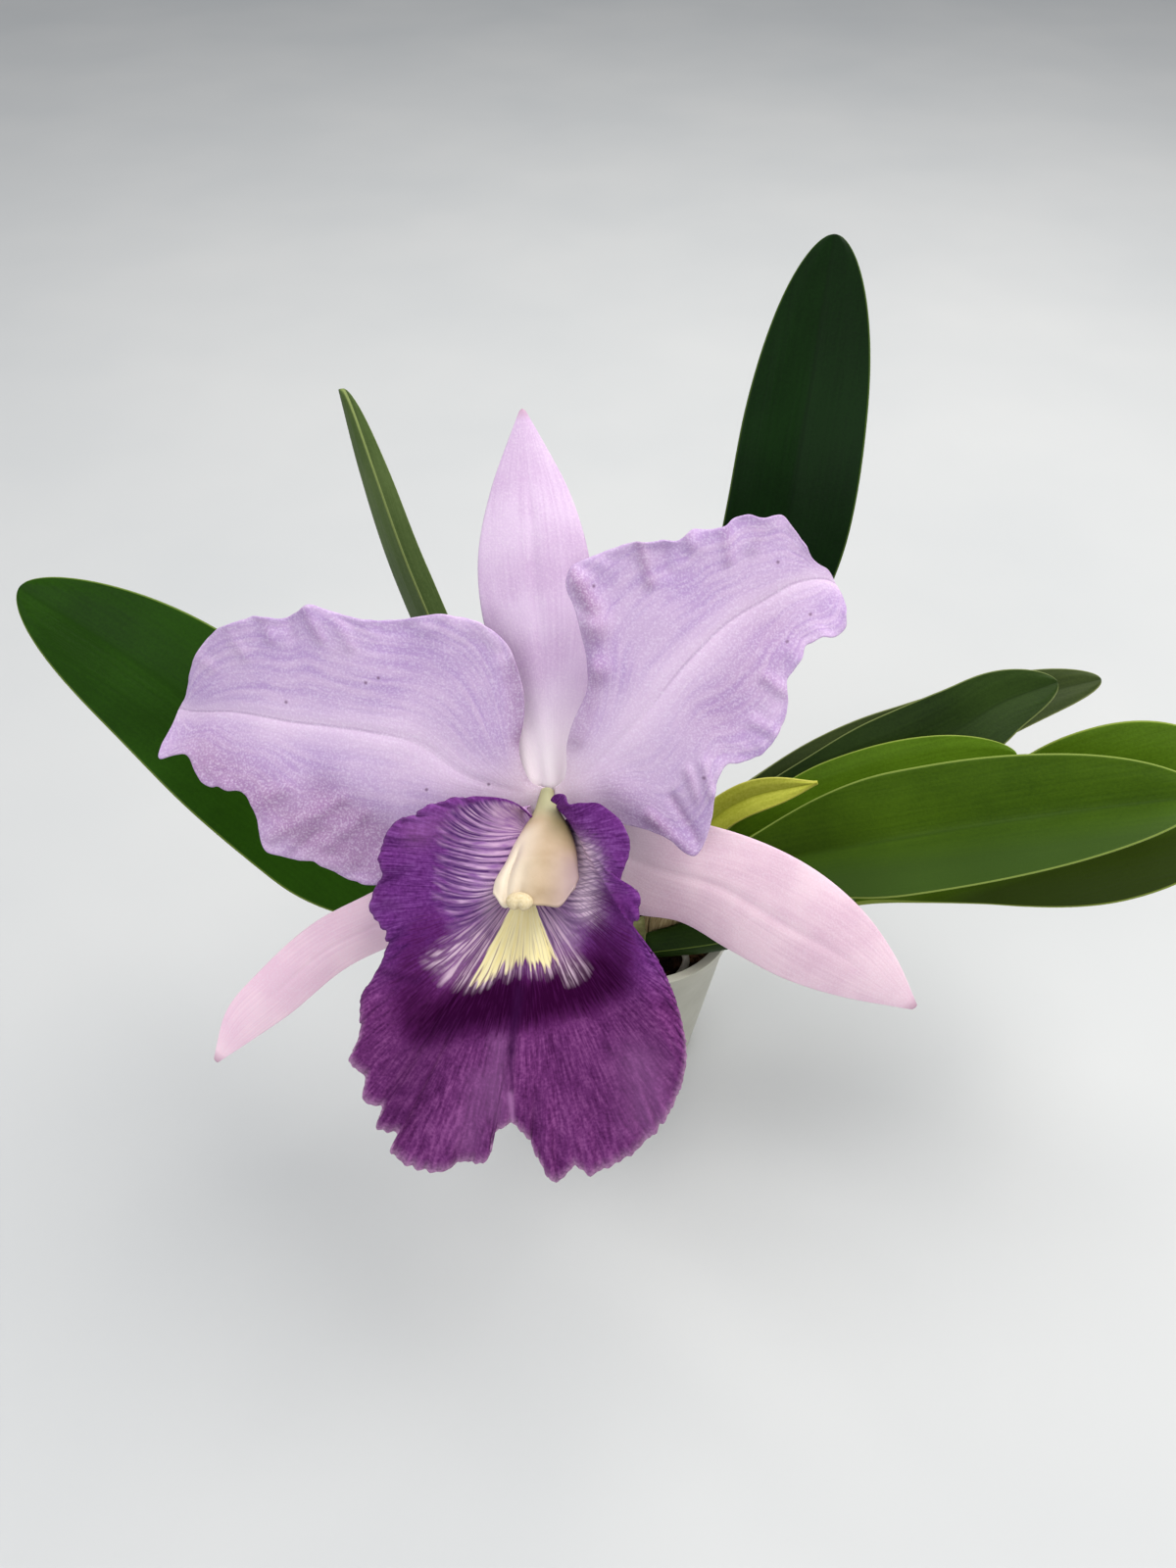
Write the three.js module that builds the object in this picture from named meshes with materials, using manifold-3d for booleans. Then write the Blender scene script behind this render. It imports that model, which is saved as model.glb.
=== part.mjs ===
// Cattleya orchid in flower, in a small tapered pot.
// Millimetres, +Z up. The origin is the centre of the pot's base, and the flower faces -Y.
// Every leaf, pseudobulb and flower part is a mesh of its own, a fraction of a millimetre clear
// of what carries it.

import * as THREE from 'three';
import { mergeVertices } from 'three/addons/utils/BufferGeometryUtils.js';
import Module from 'manifold-3d';

const wasm = await Module();
wasm.setup();

// ---------------------------------------------------------------- driving dimensions

const SEAT_GAP = 0.35;
const LEAF_SEAT = 0.8;

const POT = {
  height: 58,
  rimRadius: 25.3,
  baseRadius: 17,
  wall: 1.7,
  floor: 3,
  rimBand: 4,
  rimStep: 0.5,
  cornerRadius: 1.2,
  drainHoles: 5,
  drainRadius: 2.2,
  drainCircle: 10.5,
};

const MIX = {
  top: 50.5,
  crown: 1.5,
  chips: 32,
  chipSize: [6.2, 4.4, 2.8],
  tilt: 0.5,
  seed: 11,
};

const RHIZOME = { radius: 2.0, height: 53.2, rootRadius: 1.0 };

// The middle of the flower, and how far it looks up from the level.
const FLOWER = { centre: [-20.8, -39.7, 140.1], lookUp: 30 };

const LAYER = { sepal: -1.4, petal: 0, lip: 1.5, receptacle: -2.3 };

// A leaf is folded steeply at its stalk, and its keel is slightly rounded.
const STALK_FOLD = 50;
const LEAF_KEEL = 0.12;
const ROUND_TIP = 0.6;
const STALK_HALF_WIDTH = 3.0;

const BLADE = { leaf: 1.5, sepal: 1.0, petal: 0.95, lip: 0.9 };

// A pseudobulb's foot against its middle, and how far its ribs stand out.
const BULB_FOOT = 0.5;
const BULB_RIBS = 0.045;

// Pseudobulbs: where the foot stands on the rhizome, the top, and the radius of the swollen middle.
const BULBS = [
  { name: 'pseudobulb_left', foot: [-12, -7], top: [-33, -27, 82], radius: 4.6 },
  { name: 'pseudobulb_flowering', foot: [-7, 2], top: [-13, 1, 85], radius: 5.6 },
  { name: 'pseudobulb_back', foot: [3, 9], top: [4, 8, 85], radius: 4.6 },
  { name: 'pseudobulb_middle', foot: [5, -7], top: [8, -8, 79], radius: 4.2 },
  { name: 'pseudobulb_inner', foot: [13, -3], top: [17, -3, 76], radius: 3.8 },
  { name: 'pseudobulb_right', foot: [12.5, 7], top: [16, 9, 79], radius: 4.4 },
  { name: 'pseudobulb_long', foot: [0, -13], middle: [20, -14.5, 66], top: [54, -10, 75], radius: 4.3 },
];

// Leaves: the bulb that carries it, where it sits on the bulb's top, the middle line from there,
// half the greatest width, the way that the upper face looks, how far each half is folded up in
// degrees, and where the blade is widest, 0 to 1.
const LEAVES = [
  {
    name: 'leaf_left_broad', bulb: 'pseudobulb_left', seat: [0, 0],
    line: [[-42, -29, 88], [-60, -23, 103], [-85, -14, 126], [-103, -7, 142], [-131, 2, 160]],
    halfWidth: 18.4, face: [0.26, -0.71, 0.65], fold: 10, widest: 0.4,
  },
  {
    name: 'leaf_left_upright', bulb: 'pseudobulb_flowering', seat: [-2.2, 2.9],
    line: [[-28, 7, 95], [-45.5, 13, 121], [-56, 19, 150], [-61.5, 25, 173], [-65, 33, 188]],
    halfWidth: 9, face: [0.94, 0.02, 0.35], fold: 44, widest: 0.5,
  },
  {
    name: 'leaf_back_tall', bulb: 'pseudobulb_back', seat: [0, 0],
    line: [[8, 10, 96], [21, 19, 120], [31, 32, 151], [35, 45, 177], [40, 66, 207]],
    halfWidth: 14.5, face: [-0.2, -0.9, 0.45], fold: 12, widest: 0.58,
  },
  {
    name: 'leaf_right_front', bulb: 'pseudobulb_middle', seat: [0, 0],
    line: [[15, -11, 84], [33, -13, 92], [59, -18, 105], [91, -26, 122], [112, -32, 133]],
    halfWidth: 17, face: [0, -0.52, 0.85], fold: 34, widest: 0.5,
  },
  {
    name: 'leaf_right_middle', bulb: 'pseudobulb_inner', seat: [0, 0],
    line: [[24, 0, 84], [52, 4.5, 97.5], [71, 5, 105], [89, 5, 109]],
    halfWidth: 9.5, face: [-0.2, -0.55, 0.8], fold: 18, widest: 0.5,
  },
  {
    name: 'leaf_right_dark', bulb: 'pseudobulb_right', seat: [1.2, -1.6],
    line: [[29, 10, 85], [50, 12, 93.5], [77, 16, 107], [88, 20, 112.5], [101, 22, 117.5]],
    halfWidth: 9.5, face: [-0.2, -0.55, 0.8], fold: 16, widest: 0.55,
  },
  {
    name: 'leaf_right_far', bulb: 'pseudobulb_right', seat: [-0.2, 2.2],
    line: [[28, 16, 83], [45, 21, 88], [75, 26, 97], [100, 31, 105], [117, 32, 110]],
    halfWidth: 9.5, face: [-0.2, -0.55, 0.8], fold: 14, widest: 0.5,
  },
  {
    name: 'leaf_right_low', bulb: 'pseudobulb_long', seat: [0, 0],
    line: [[65, -10.5, 79.6], [82, -12, 93], [106, -15, 111], [129, -18, 124]],
    halfWidth: 20, face: [-0.3, -0.65, 0.7], fold: 12, widest: 0.68,
  },
];

// The new growth is a pale pointed leaf, still narrow.
const NEW_GROWTH = {
  name: 'new_growth',
  line: [[8.6, 1.4, 55.8], [10, 1.2, 70], [15, 2, 86], [25, 3.4, 95.6], [42, 3, 102]],
  halfWidth: 4.6, face: [-0.3, -0.7, 0.6], fold: 26, widest: 0.72, tip: 1.3, stalk: 2.4,
};

// Flower outlines, in the flower's own frame: X to the right, Y up the face.
// Each blade runs from its claw to its tip between two margins.
const SEPALS = [
  {
    name: 'sepal_dorsal',
    left: [[-2.4, 3.4], [-5, 9], [-9, 22], [-13, 35], [-13.6, 46], [-11, 58], [-7.6, 67], [-5.6, 72.3]],
    right: [[2.4, 3.4], [4.6, 9], [7.5, 22], [8.6, 35], [7.4, 46], [4, 57], [-1.4, 67], [-4.4, 72.3]],
    recline: 9, cup: 2.2,
  },
  {
    name: 'sepal_left',
    left: [[-2.6, -1.6], [-12, -8], [-24, -14], [-37, -21.2], [-49, -28], [-61, -39],
      [-68.6, -48], [-72.6, -59.4]],
    right: [[-0.8, -4.2], [-8, -17], [-19, -26.5], [-32, -32], [-43, -38], [-55, -48.5],
      [-63, -54.4], [-71.8, -61]],
    recline: 7, cup: 2.0,
  },
  {
    name: 'sepal_right',
    left: [[0.8, -4.2], [5, -14], [14, -24], [26, -27.2], [36, -33.6], [48, -40.5], [61, -45.2],
      [75.4, -48.8]],
    right: [[2.6, -1.6], [13, -3.6], [27, -5.4], [40, -9.4], [52, -15.6], [63, -25], [71, -36],
      [76.8, -47.2]],
    recline: 7, cup: 2.0,
  },
];

const PETALS = [
  {
    name: 'petal_left',
    left: [[-3.4, -1.6], [-12, -8.2], [-23, -13.2], [-32.5, -16.4], [-41, -15], [-48, -11.5],
      [-55, -9.4], [-57.4, -2], [-60, 3], [-66.4, 4], [-69.4, 9.2], [-75, 9.4]],
    right: [[-3.4, 2.2], [-6.2, 10], [-5.4, 18], [-7, 27], [-13, 34.6], [-20, 36.2], [-29, 34.2], [-38, 35.8],
      [-44, 37.4], [-54, 35.8], [-62, 32.6], [-68, 25], [-72, 17], [-75.6, 10.8]],
    arch: 6.5, fall: 9, waves: 3.5, ruffle: 1.5,
  },
  {
    name: 'petal_right',
    left: [[3.4, 2.2], [3.6, 10], [6, 18], [7, 25], [5.6, 34], [4.2, 43], [8, 47.2], [17, 49.2], [25, 49.4],
      [33, 52.6], [40, 53.8], [45.4, 50], [49, 44], [54, 37.4]],
    right: [[3.4, -1.6], [14.8, -8], [22, -9.6], [28.4, -9.6], [31.2, -1], [34, 6.6], [40, 9.4], [44.4, 17],
      [44.6, 24], [47.6, 30.6], [53, 33], [54.6, 36]],
    arch: 5.5, fall: 4, waves: 3.5, ruffle: 1.8,
  },
];

// The lip: a fan from its throat round the column to this margin, which starts above the left
// side lobe and ends above the right one. The third number is the height over the face.
const LIP = {
  name: 'lip',
  throat: { centre: [0.1, -0.4], radius: [4.1, 4.9], from: 112, to: 428 },
  margin: [
    [-5, 3.4, 4.5], [-14, 5, 11], [-23, 2.4, 15], [-29.4, -3, 16.5], [-31.2, -10, 17], [-33, -16, 17.5],
    [-30, -21.5, 18.5], [-34.6, -32, 19.5], [-36.4, -43, 19.5], [-35, -53.5, 18.5], [-33, -61.5, 17],
    [-28.8, -68.8, 16], [-19, -68, 17], [-12, -64.6, 18.5], [-7.5, -59, 21], [-3.4, -64.4, 19.5],
    [1.6, -70.8, 17.5], [10, -68.8, 16.5], [18, -63.6, 17], [24.4, -54, 18], [26, -45, 19.5],
    [23.8, -34, 20.5], [20.4, -26, 20.5], [16, -20, 20], [16.8, -14, 19], [14.6, -8, 17.5],
    [13, -0.6, 14], [8.8, 3.4, 9.5], [4.6, 3.6, 4.5],
  ],
  frill: 1.1, frillWaves: 30, hump: 3.2,
};

const COLUMN = {
  base: [0, 0.4, LAYER.receptacle + SEAT_GAP],
  bends: [[0, 0.4, 0.5], [-1.4, -4, 11.6]],
  tip: [-2.9, -11.2, 22.9],
  // along the column: [share of its length, half width, half depth]
  sections: [
    [0, 2.4, 2.3], [0.2, 3.2, 2.6], [0.45, 5, 3], [0.7, 6.4, 3.5], [0.88, 6.6, 3.6], [1, 4.8, 2.4],
  ],
};

const ANTHER_CAP = { lift: 1.7, radii: [3.0, 1.9, 1.3] };

const STEM = {
  ovaryTop: 4.4,
  ovary: 2.3,
  radius: 1.6,
  bends: [[-20.6, -28, 132.5], [-18.6, -15, 121], [-14.6, -5, 106]],
  bulb: 'pseudobulb_flowering',
  seat: [0.9, -1.2],
};

const SHEATH = { length: 24, radius: 2.8, opening: 100, thickness: 0.7 };

// ---------------------------------------------------------------- small helpers

const vec = (point) => new THREE.Vector3(...point);
const smooth = (points) => new THREE.CatmullRomCurve3(points.map(vec), false, 'centripetal');
const mix = (a, b, t) => a + (b - a) * t;
const radians = THREE.MathUtils.degToRad;

function seededRandom(seed) {
  let state = seed;
  return () => {
    state = (state * 1664525 + 1013904223) % 4294967296;
    return state / 4294967296;
  };
}

function geometryFrom(points, faces) {
  const geometry = new THREE.BufferGeometry();
  const positions = new Float32Array(points.flatMap((p) => [p.x, p.y, p.z]));
  geometry.setAttribute('position', new THREE.BufferAttribute(positions, 3));
  geometry.setIndex(faces.flat());
  return geometry;
}

function signedVolume(points, faces) {
  let sum = 0;
  for (const [a, b, c] of faces) {
    sum += points[a].dot(new THREE.Vector3().crossVectors(points[b], points[c]));
  }
  return sum / 6;
}

function outwardGeometry(points, faces) {
  const outward = signedVolume(points, faces) > 0;
  return geometryFrom(points, outward ? faces : faces.map(([a, b, c]) => [a, c, b]));
}

// A blade of even thickness round the surface that surfaceAt(u, v) describes. Both faces are
// split into triangles alike.
function bladeGeometry(surfaceAt, stepsU, stepsV, thickness) {
  const reach = 0.5 / Math.max(stepsU, stepsV);
  const columns = stepsV + 1;
  const upper = [];
  const lower = [];
  for (let i = 0; i <= stepsU; i += 1) {
    for (let j = 0; j <= stepsV; j += 1) {
      const u = i / stepsU;
      const v = j / stepsV;
      const alongU = surfaceAt(Math.min(u + reach, 1), v).sub(surfaceAt(Math.max(u - reach, 0), v));
      const alongV = surfaceAt(u, Math.min(v + reach, 1)).sub(surfaceAt(u, Math.max(v - reach, 0)));
      const normal = new THREE.Vector3().crossVectors(alongU, alongV).normalize();
      const point = surfaceAt(u, v);
      upper.push(point.clone().addScaledVector(normal, thickness / 2));
      lower.push(point.clone().addScaledVector(normal, -thickness / 2));
    }
  }
  const points = [...upper, ...lower];
  const under = upper.length;
  const faces = [];
  for (let i = 0; i < stepsU; i += 1) {
    for (let j = 0; j < stepsV; j += 1) {
      const a = i * columns + j;
      const b = a + 1;
      const c = a + columns;
      const d = c + 1;
      faces.push([a, c, b], [b, c, d]);
      faces.push([under + a, under + b, under + c], [under + b, under + d, under + c]);
    }
  }
  const edge = (from, to) => {
    faces.push([from, under + from, to], [to, under + from, under + to]);
  };
  for (let i = 0; i < stepsU; i += 1) {
    edge(i * columns, (i + 1) * columns);
    edge((i + 1) * columns + stepsV, i * columns + stepsV);
  }
  for (let j = 0; j < stepsV; j += 1) {
    edge(j + 1, j);
    edge(stepsU * columns + j, stepsU * columns + j + 1);
  }
  return outwardGeometry(points, faces);
}

// A solid rod along a curve. sectionAt(s) gives its half width and half depth there, and
// widthAxis the way its width lies.
function rodGeometry(curve, sectionAt, steps, sides, widthAxis = new THREE.Vector3(1, 0, 0), ribs = 0) {
  const points = [];
  for (let i = 0; i <= steps; i += 1) {
    const s = i / steps;
    const centre = curve.getPointAt(s);
    const tangent = curve.getTangentAt(s);
    const depthAxis = new THREE.Vector3().crossVectors(tangent, widthAxis).normalize();
    const sideAxis = new THREE.Vector3().crossVectors(depthAxis, tangent).normalize();
    const [halfWidth, halfDepth] = sectionAt(s);
    for (let j = 0; j < sides; j += 1) {
      const angle = (2 * Math.PI * j) / sides;
      const rib = 1 + (j % 2 === 0 ? ribs : -ribs);
      const point = centre.clone();
      point.addScaledVector(sideAxis, halfWidth * rib * Math.cos(angle));
      point.addScaledVector(depthAxis, halfDepth * rib * Math.sin(angle));
      points.push(point);
    }
  }
  const faces = [];
  for (let i = 0; i < steps; i += 1) {
    for (let j = 0; j < sides; j += 1) {
      const a = i * sides + j;
      const b = i * sides + ((j + 1) % sides);
      faces.push([a, b, a + sides], [b, b + sides, a + sides]);
    }
  }
  const first = points.length;
  points.push(curve.getPointAt(0), curve.getPointAt(1));
  for (let j = 0; j < sides; j += 1) {
    const next = (j + 1) % sides;
    const last = steps * sides;
    faces.push([first, next, j], [first + 1, last + j, last + next]);
  }
  return outwardGeometry(points, faces);
}

function toSolid(geometry) {
  const bare = geometry.clone();
  bare.deleteAttribute('normal');
  bare.deleteAttribute('uv');
  const merged = mergeVertices(bare, 1e-4);
  return new wasm.Manifold(new wasm.Mesh({
    numProp: 3,
    vertProperties: new Float32Array(merged.attributes.position.array),
    triVerts: new Uint32Array(merged.index.array),
  }));
}

// A solid of revolution about Z, from its profile of radius and height.
function turnedSolid(profile, segments) {
  const outline = profile.map(([r, z]) => new THREE.Vector2(r, z));
  return toSolid(new THREE.LatheGeometry(outline, segments).rotateX(Math.PI / 2));
}

function fromSolid(solid) {
  const mesh = solid.getMesh();
  const geometry = new THREE.BufferGeometry();
  const positions = new Float32Array(mesh.vertProperties);
  geometry.setAttribute('position', new THREE.BufferAttribute(positions, 3));
  geometry.setIndex(Array.from(mesh.triVerts));
  return geometry;
}

function valueAlong(table, s) {
  const after = table.findIndex(([share]) => share >= s);
  if (after <= 0) return table[0].slice(1);
  const [from, to] = [table[after - 1], table[after]];
  const t = THREE.MathUtils.smoothstep(s, from[0], to[0]);
  return from.slice(1).map((value, i) => mix(value, to[i + 1], t));
}

// ---------------------------------------------------------------- materials

const MATERIALS = {
  pot: { color: 0xd5d8cf, roughness: 0.35 },
  bark: { color: 0x3a2a1d, roughness: 0.95 },
  rhizome: { color: 0x77794a, roughness: 0.8 },
  pseudobulb: { color: 0x5d7a34, roughness: 0.55 },
  leaf: { color: 0x2b5a1e, roughness: 0.42 },
  newGrowth: { color: 0xb3b83a, roughness: 0.5 },
  stem: { color: 0x7c9a4a, roughness: 0.55 },
  sheath: { color: 0x9aa05c, roughness: 0.7 },
  sepal: { color: 0xdcc5e4, roughness: 0.6 },
  petal: { color: 0xc9b3dd, roughness: 0.6 },
  lip: { color: 0x6d3a97, roughness: 0.55 },
  column: { color: 0xe9dfc2, roughness: 0.5 },
};

function piece(name, geometry, finish) {
  const material = new THREE.MeshStandardMaterial({ ...MATERIALS[finish], metalness: 0 });
  const mesh = new THREE.Mesh(geometry, material);
  mesh.name = name;
  return mesh;
}

// ---------------------------------------------------------------- pot and mix

const wallSlope = (POT.rimRadius - POT.rimStep - POT.baseRadius) / POT.height;
const outerRadiusAt = (z) => POT.baseRadius + wallSlope * z;
const innerRadiusAt = (z) => outerRadiusAt(z) - POT.wall;

function potGeometry() {
  const bandFoot = POT.height - POT.rimBand;
  const profile = [
    [0, 0],
    [POT.baseRadius - POT.cornerRadius, 0],
    [POT.baseRadius, POT.cornerRadius],
    [outerRadiusAt(bandFoot), bandFoot],
    [outerRadiusAt(bandFoot) + POT.rimStep, bandFoot + POT.rimStep],
    [POT.rimRadius, POT.height - 0.6],
    [POT.rimRadius - 0.6, POT.height],
    [innerRadiusAt(POT.height) + 0.6, POT.height],
    [innerRadiusAt(POT.height), POT.height - 0.6],
    [innerRadiusAt(POT.floor), POT.floor],
    [0, POT.floor],
  ];
  let pot = turnedSolid(profile, 32);
  for (let i = 0; i < POT.drainHoles; i += 1) {
    const angle = (2 * Math.PI * i) / POT.drainHoles;
    const hole = new THREE.CylinderGeometry(POT.drainRadius, POT.drainRadius, 3 * POT.floor, 12);
    hole.rotateX(Math.PI / 2);
    hole.translate(POT.drainCircle * Math.cos(angle), POT.drainCircle * Math.sin(angle), POT.floor / 2);
    pot = pot.subtract(toSolid(hole));
  }
  return fromSolid(pot);
}

// One chip of bark: a block whose corners are knocked in at random.
function chipGeometry(random) {
  const [length, width, depth] = MIX.chipSize.map((size) => size * mix(0.7, 1.3, random()));
  const block = new THREE.BoxGeometry(length, width, depth);
  block.deleteAttribute('uv');
  block.deleteAttribute('normal');
  const chip = mergeVertices(block);
  const corners = chip.attributes.position;
  for (let i = 0; i < corners.count; i += 1) {
    const shrink = mix(0.65, 1, random());
    corners.setXYZ(i, corners.getX(i) * shrink, corners.getY(i) * mix(0.7, 1, random()), corners.getZ(i));
  }
  return chip;
}

function mixSolid() {
  const clear = SEAT_GAP;
  const bottom = POT.floor + clear;
  const profile = [
    [0, bottom],
    [innerRadiusAt(bottom) - clear, bottom],
    [innerRadiusAt(MIX.top) - clear, MIX.top - MIX.crown],
    [innerRadiusAt(MIX.top) * 0.5, MIX.top],
    [0, MIX.top],
  ];
  let solid = turnedSolid(profile, 28);
  const random = seededRandom(MIX.seed);
  const golden = Math.PI * (3 - Math.sqrt(5));
  const field = innerRadiusAt(MIX.top) - 5;
  for (let i = 0; i < MIX.chips; i += 1) {
    const radius = field * Math.sqrt((i + 0.5) / MIX.chips);
    const chip = chipGeometry(random);
    chip.rotateX(mix(-MIX.tilt, MIX.tilt, random()));
    chip.rotateY(mix(-MIX.tilt, MIX.tilt, random()));
    chip.rotateZ(2 * Math.PI * random());
    const height = MIX.top + mix(-0.6, 0.5, random());
    chip.translate(radius * Math.cos(i * golden), radius * Math.sin(i * golden), height);
    solid = solid.add(toSolid(chip));
  }
  return solid;
}

// ---------------------------------------------------------------- rhizome, roots, pseudobulbs

const RUNNERS = [
  [[-17, -10], [-13, -8], [-7, 2], [3, 9], [8, 8.4], [12.5, 7], [16, 5]],
  [[-7, 2], [-1, -3], [5, -7], [10, -5.6], [14, -3]],
  [[-1, -3], [4, 0], [9.4, 1.4]],
  [[-13, -8], [-7, -12], [0, -13], [4, -13.2]],
];

const ROOTS = [
  [[-13, -8, 53.4], [-17, -3, 54.6], [-18.6, 4, 54], [-16, 10, 52.6], [-12, 15, 50]],
  [[4, -3, 53.4], [9, -8, 54.4], [12, -14, 53.6], [9, -18.5, 52], [3, -20, 49.6]],
  [[3, 9, 53.4], [2, 14, 54.2], [-3, 18, 53], [-8, 19, 50]],
  [[13, 5, 53.4], [18, 8, 54.2], [17, 13, 53], [12, 17.5, 50]],
];

// A route whose two ends are pushed outwards by extra.
function lengthened(route, extra) {
  const push = (end, inner) => {
    const away = vec(end).sub(vec(inner)).setLength(extra);
    return vec(end).add(away).toArray();
  };
  const last = route.length - 1;
  return [push(route[0], route[1]), ...route.slice(1, last), push(route[last], route[last - 1])];
}

// The rhizome with its runners and roots, or, with extra, the room that they need in the mix.
function rhizomeSolid(extra) {
  let solid = null;
  const grow = (geometry) => {
    solid = solid ? solid.add(toSolid(geometry)) : toSolid(geometry);
  };
  const up = new THREE.Vector3(0, 0, 1);
  for (const route of RUNNERS) {
    const curve = smooth(lengthened(route.map(([x, y]) => [x, y, RHIZOME.height]), extra));
    const section = (s) => {
      const radius = RHIZOME.radius * (s < 0.02 || s > 0.98 ? 0.7 : 1);
      return [radius + extra, radius + extra];
    };
    grow(rodGeometry(curve, section, 3 * route.length, 7, up));
  }
  for (const route of ROOTS) {
    const section = (s) => {
      const radius = RHIZOME.rootRadius * mix(1.15, 0.75, s) + extra;
      return [radius, radius];
    };
    grow(rodGeometry(smooth(lengthened(route, extra)), section, 8, 5, up));
  }
  return solid;
}

// A leaning bulb's foot is lifted until the low side of it clears the rhizome.
function bulbCurve({ foot: [x, y], middle, top, radius }) {
  const away = middle ?? top;
  const lean = Math.hypot(away[0] - x, away[1] - y);
  const slope = lean / Math.hypot(lean, away[2] - RHIZOME.height);
  const lift = SEAT_GAP + 1.2 * BULB_FOOT * radius * slope;
  const foot = [x, y, RHIZOME.height + RHIZOME.radius + lift];
  const halfway = middle ?? [mix(x, top[0], 0.55), mix(y, top[1], 0.55), mix(foot[2], top[2], 0.5)];
  return smooth([foot, halfway, top]);
}

// A point just over a bulb's top, moved sideways by the seat.
function seatOn(bulbName, [aside, forward]) {
  const curve = bulbCurve(BULBS.find(({ name }) => name === bulbName));
  const point = curve.getPointAt(1).addScaledVector(curve.getTangentAt(1), LEAF_SEAT);
  return [point.x + aside, point.y + forward, point.z];
}

function bulbGeometry(bulb) {
  const section = (s) => {
    const swell = Math.pow(Math.sin(Math.PI * mix(0.05, 0.9, Math.pow(s, 0.85))), 1.2);
    const radius = mix(BULB_FOOT * bulb.radius, bulb.radius, swell);
    return [radius, 0.85 * radius];
  };
  const widthAxis = bulb.middle ? new THREE.Vector3(0, 0, 1) : new THREE.Vector3(1, 0, 0);
  return rodGeometry(bulbCurve(bulb), section, 8, 12, widthAxis, BULB_RIBS);
}

// ---------------------------------------------------------------- leaves

// Share of the greatest width: a slow swelling from the stalk, and a blunt round tip.
function leafOutline(along, widest, tip) {
  if (along < widest) return THREE.MathUtils.smoothstep(along, 0, widest);
  const toTip = (along - widest) / (1 - widest);
  return Math.pow(1 - toTip ** 2.4, tip);
}

function leafGeometry({ line, halfWidth, face, fold, widest, tip = ROUND_TIP, stalk = STALK_HALF_WIDTH }) {
  const curve = smooth(line);
  const facing = vec(face).normalize();
  const surfaceAt = (u, v) => {
    const along = 1 - (1 - u) ** 1.5;
    const centre = curve.getPointAt(along);
    const tangent = curve.getTangentAt(along);
    const side = new THREE.Vector3().crossVectors(tangent, facing).normalize();
    const normal = new THREE.Vector3().crossVectors(side, tangent).normalize();
    const least = along < widest ? stalk : 0.6;
    const half = Math.max(mix(least, halfWidth, leafOutline(along, widest, tip)), 0.6);
    const across = 2 * v - 1;
    const rise = Math.hypot(across, LEAF_KEEL) - LEAF_KEEL;
    const opening = radians(mix(STALK_FOLD, fold, THREE.MathUtils.smoothstep(along, 0, 0.35)));
    centre.addScaledVector(side, half * across * Math.cos(opening));
    centre.addScaledVector(normal, half * rise * Math.sin(opening));
    return centre;
  };
  return bladeGeometry(surfaceAt, 16, 4, BLADE.leaf);
}

// ---------------------------------------------------------------- flower

// A point between two margins, both measured along their length, in the flower's face.
function betweenMargins(left, right) {
  const flat = (points) => smooth(points.map(([x, y]) => [x, y, 0]));
  const [leftEdge, rightEdge] = [flat(left), flat(right)];
  return (u, v) => leftEdge.getPointAt(u).lerp(rightEdge.getPointAt(u), v);
}

function sepalGeometry({ left, right, recline, cup }) {
  const outline = betweenMargins(left, right);
  const surfaceAt = (u, v) => {
    const point = outline(u, v);
    const across = 2 * v - 1;
    point.z = LAYER.sepal - recline * u ** 2 - cup * (across ** 2) * Math.sin(Math.PI * u);
    return point;
  };
  return bladeGeometry(surfaceAt, 14, 6, BLADE.sepal);
}

function petalGeometry({ left, right, arch, fall, waves, ruffle }) {
  const outline = betweenMargins(left, right);
  const surfaceAt = (u, v) => {
    const point = outline(u, v);
    const across = 2 * v - 1;
    const wave = Math.sin(2 * Math.PI * waves * u + (across > 0 ? 0.8 : 2.4));
    const edge = Math.abs(across) ** 3 * THREE.MathUtils.smoothstep(u, 0.12, 0.4);
    point.z = LAYER.petal + arch * Math.sin(Math.PI * Math.min(1, 0.9 * u)) - fall * u ** 3;
    point.z += ruffle * edge * wave - 1.2 * (1 - across ** 2) * Math.sin(Math.PI * u);
    return point;
  };
  return bladeGeometry(surfaceAt, 20, 8, BLADE.petal);
}

function lipGeometry() {
  const { centre, radius, from, to } = LIP.throat;
  const margin = smooth(LIP.margin);
  const surfaceAt = (u, v) => {
    const angle = radians(mix(from, to, v));
    const inner = new THREE.Vector3(
      centre[0] + radius[0] * Math.cos(angle),
      centre[1] + radius[1] * Math.sin(angle),
      LAYER.lip,
    );
    const outer = margin.getPointAt(v);
    const flat = Math.hypot(outer.x - inner.x, outer.y - inner.y);
    const steepness = 1.4 + flat / 16;
    const rise = 1 - (1 - u) ** steepness;
    const middle = THREE.MathUtils.smoothstep(flat, 30, 50);
    const point = new THREE.Vector3(mix(inner.x, outer.x, u), mix(inner.y, outer.y, u), 0);
    point.z = mix(inner.z, outer.z, rise) + LIP.hump * middle * Math.sin(Math.PI * u) * u;
    const frillEdge = THREE.MathUtils.smoothstep(u, 0.7, 1) * THREE.MathUtils.smoothstep(flat, 8, 20);
    point.z += LIP.frill * frillEdge * Math.sin(2 * Math.PI * LIP.frillWaves * v);
    return point;
  };
  return bladeGeometry(surfaceAt, 8, 76, BLADE.lip);
}

const columnCurve = () => smooth([COLUMN.base, ...COLUMN.bends, COLUMN.tip]);

function columnGeometry() {
  return rodGeometry(columnCurve(), (s) => valueAlong(COLUMN.sections, s), 12, 14);
}

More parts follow.
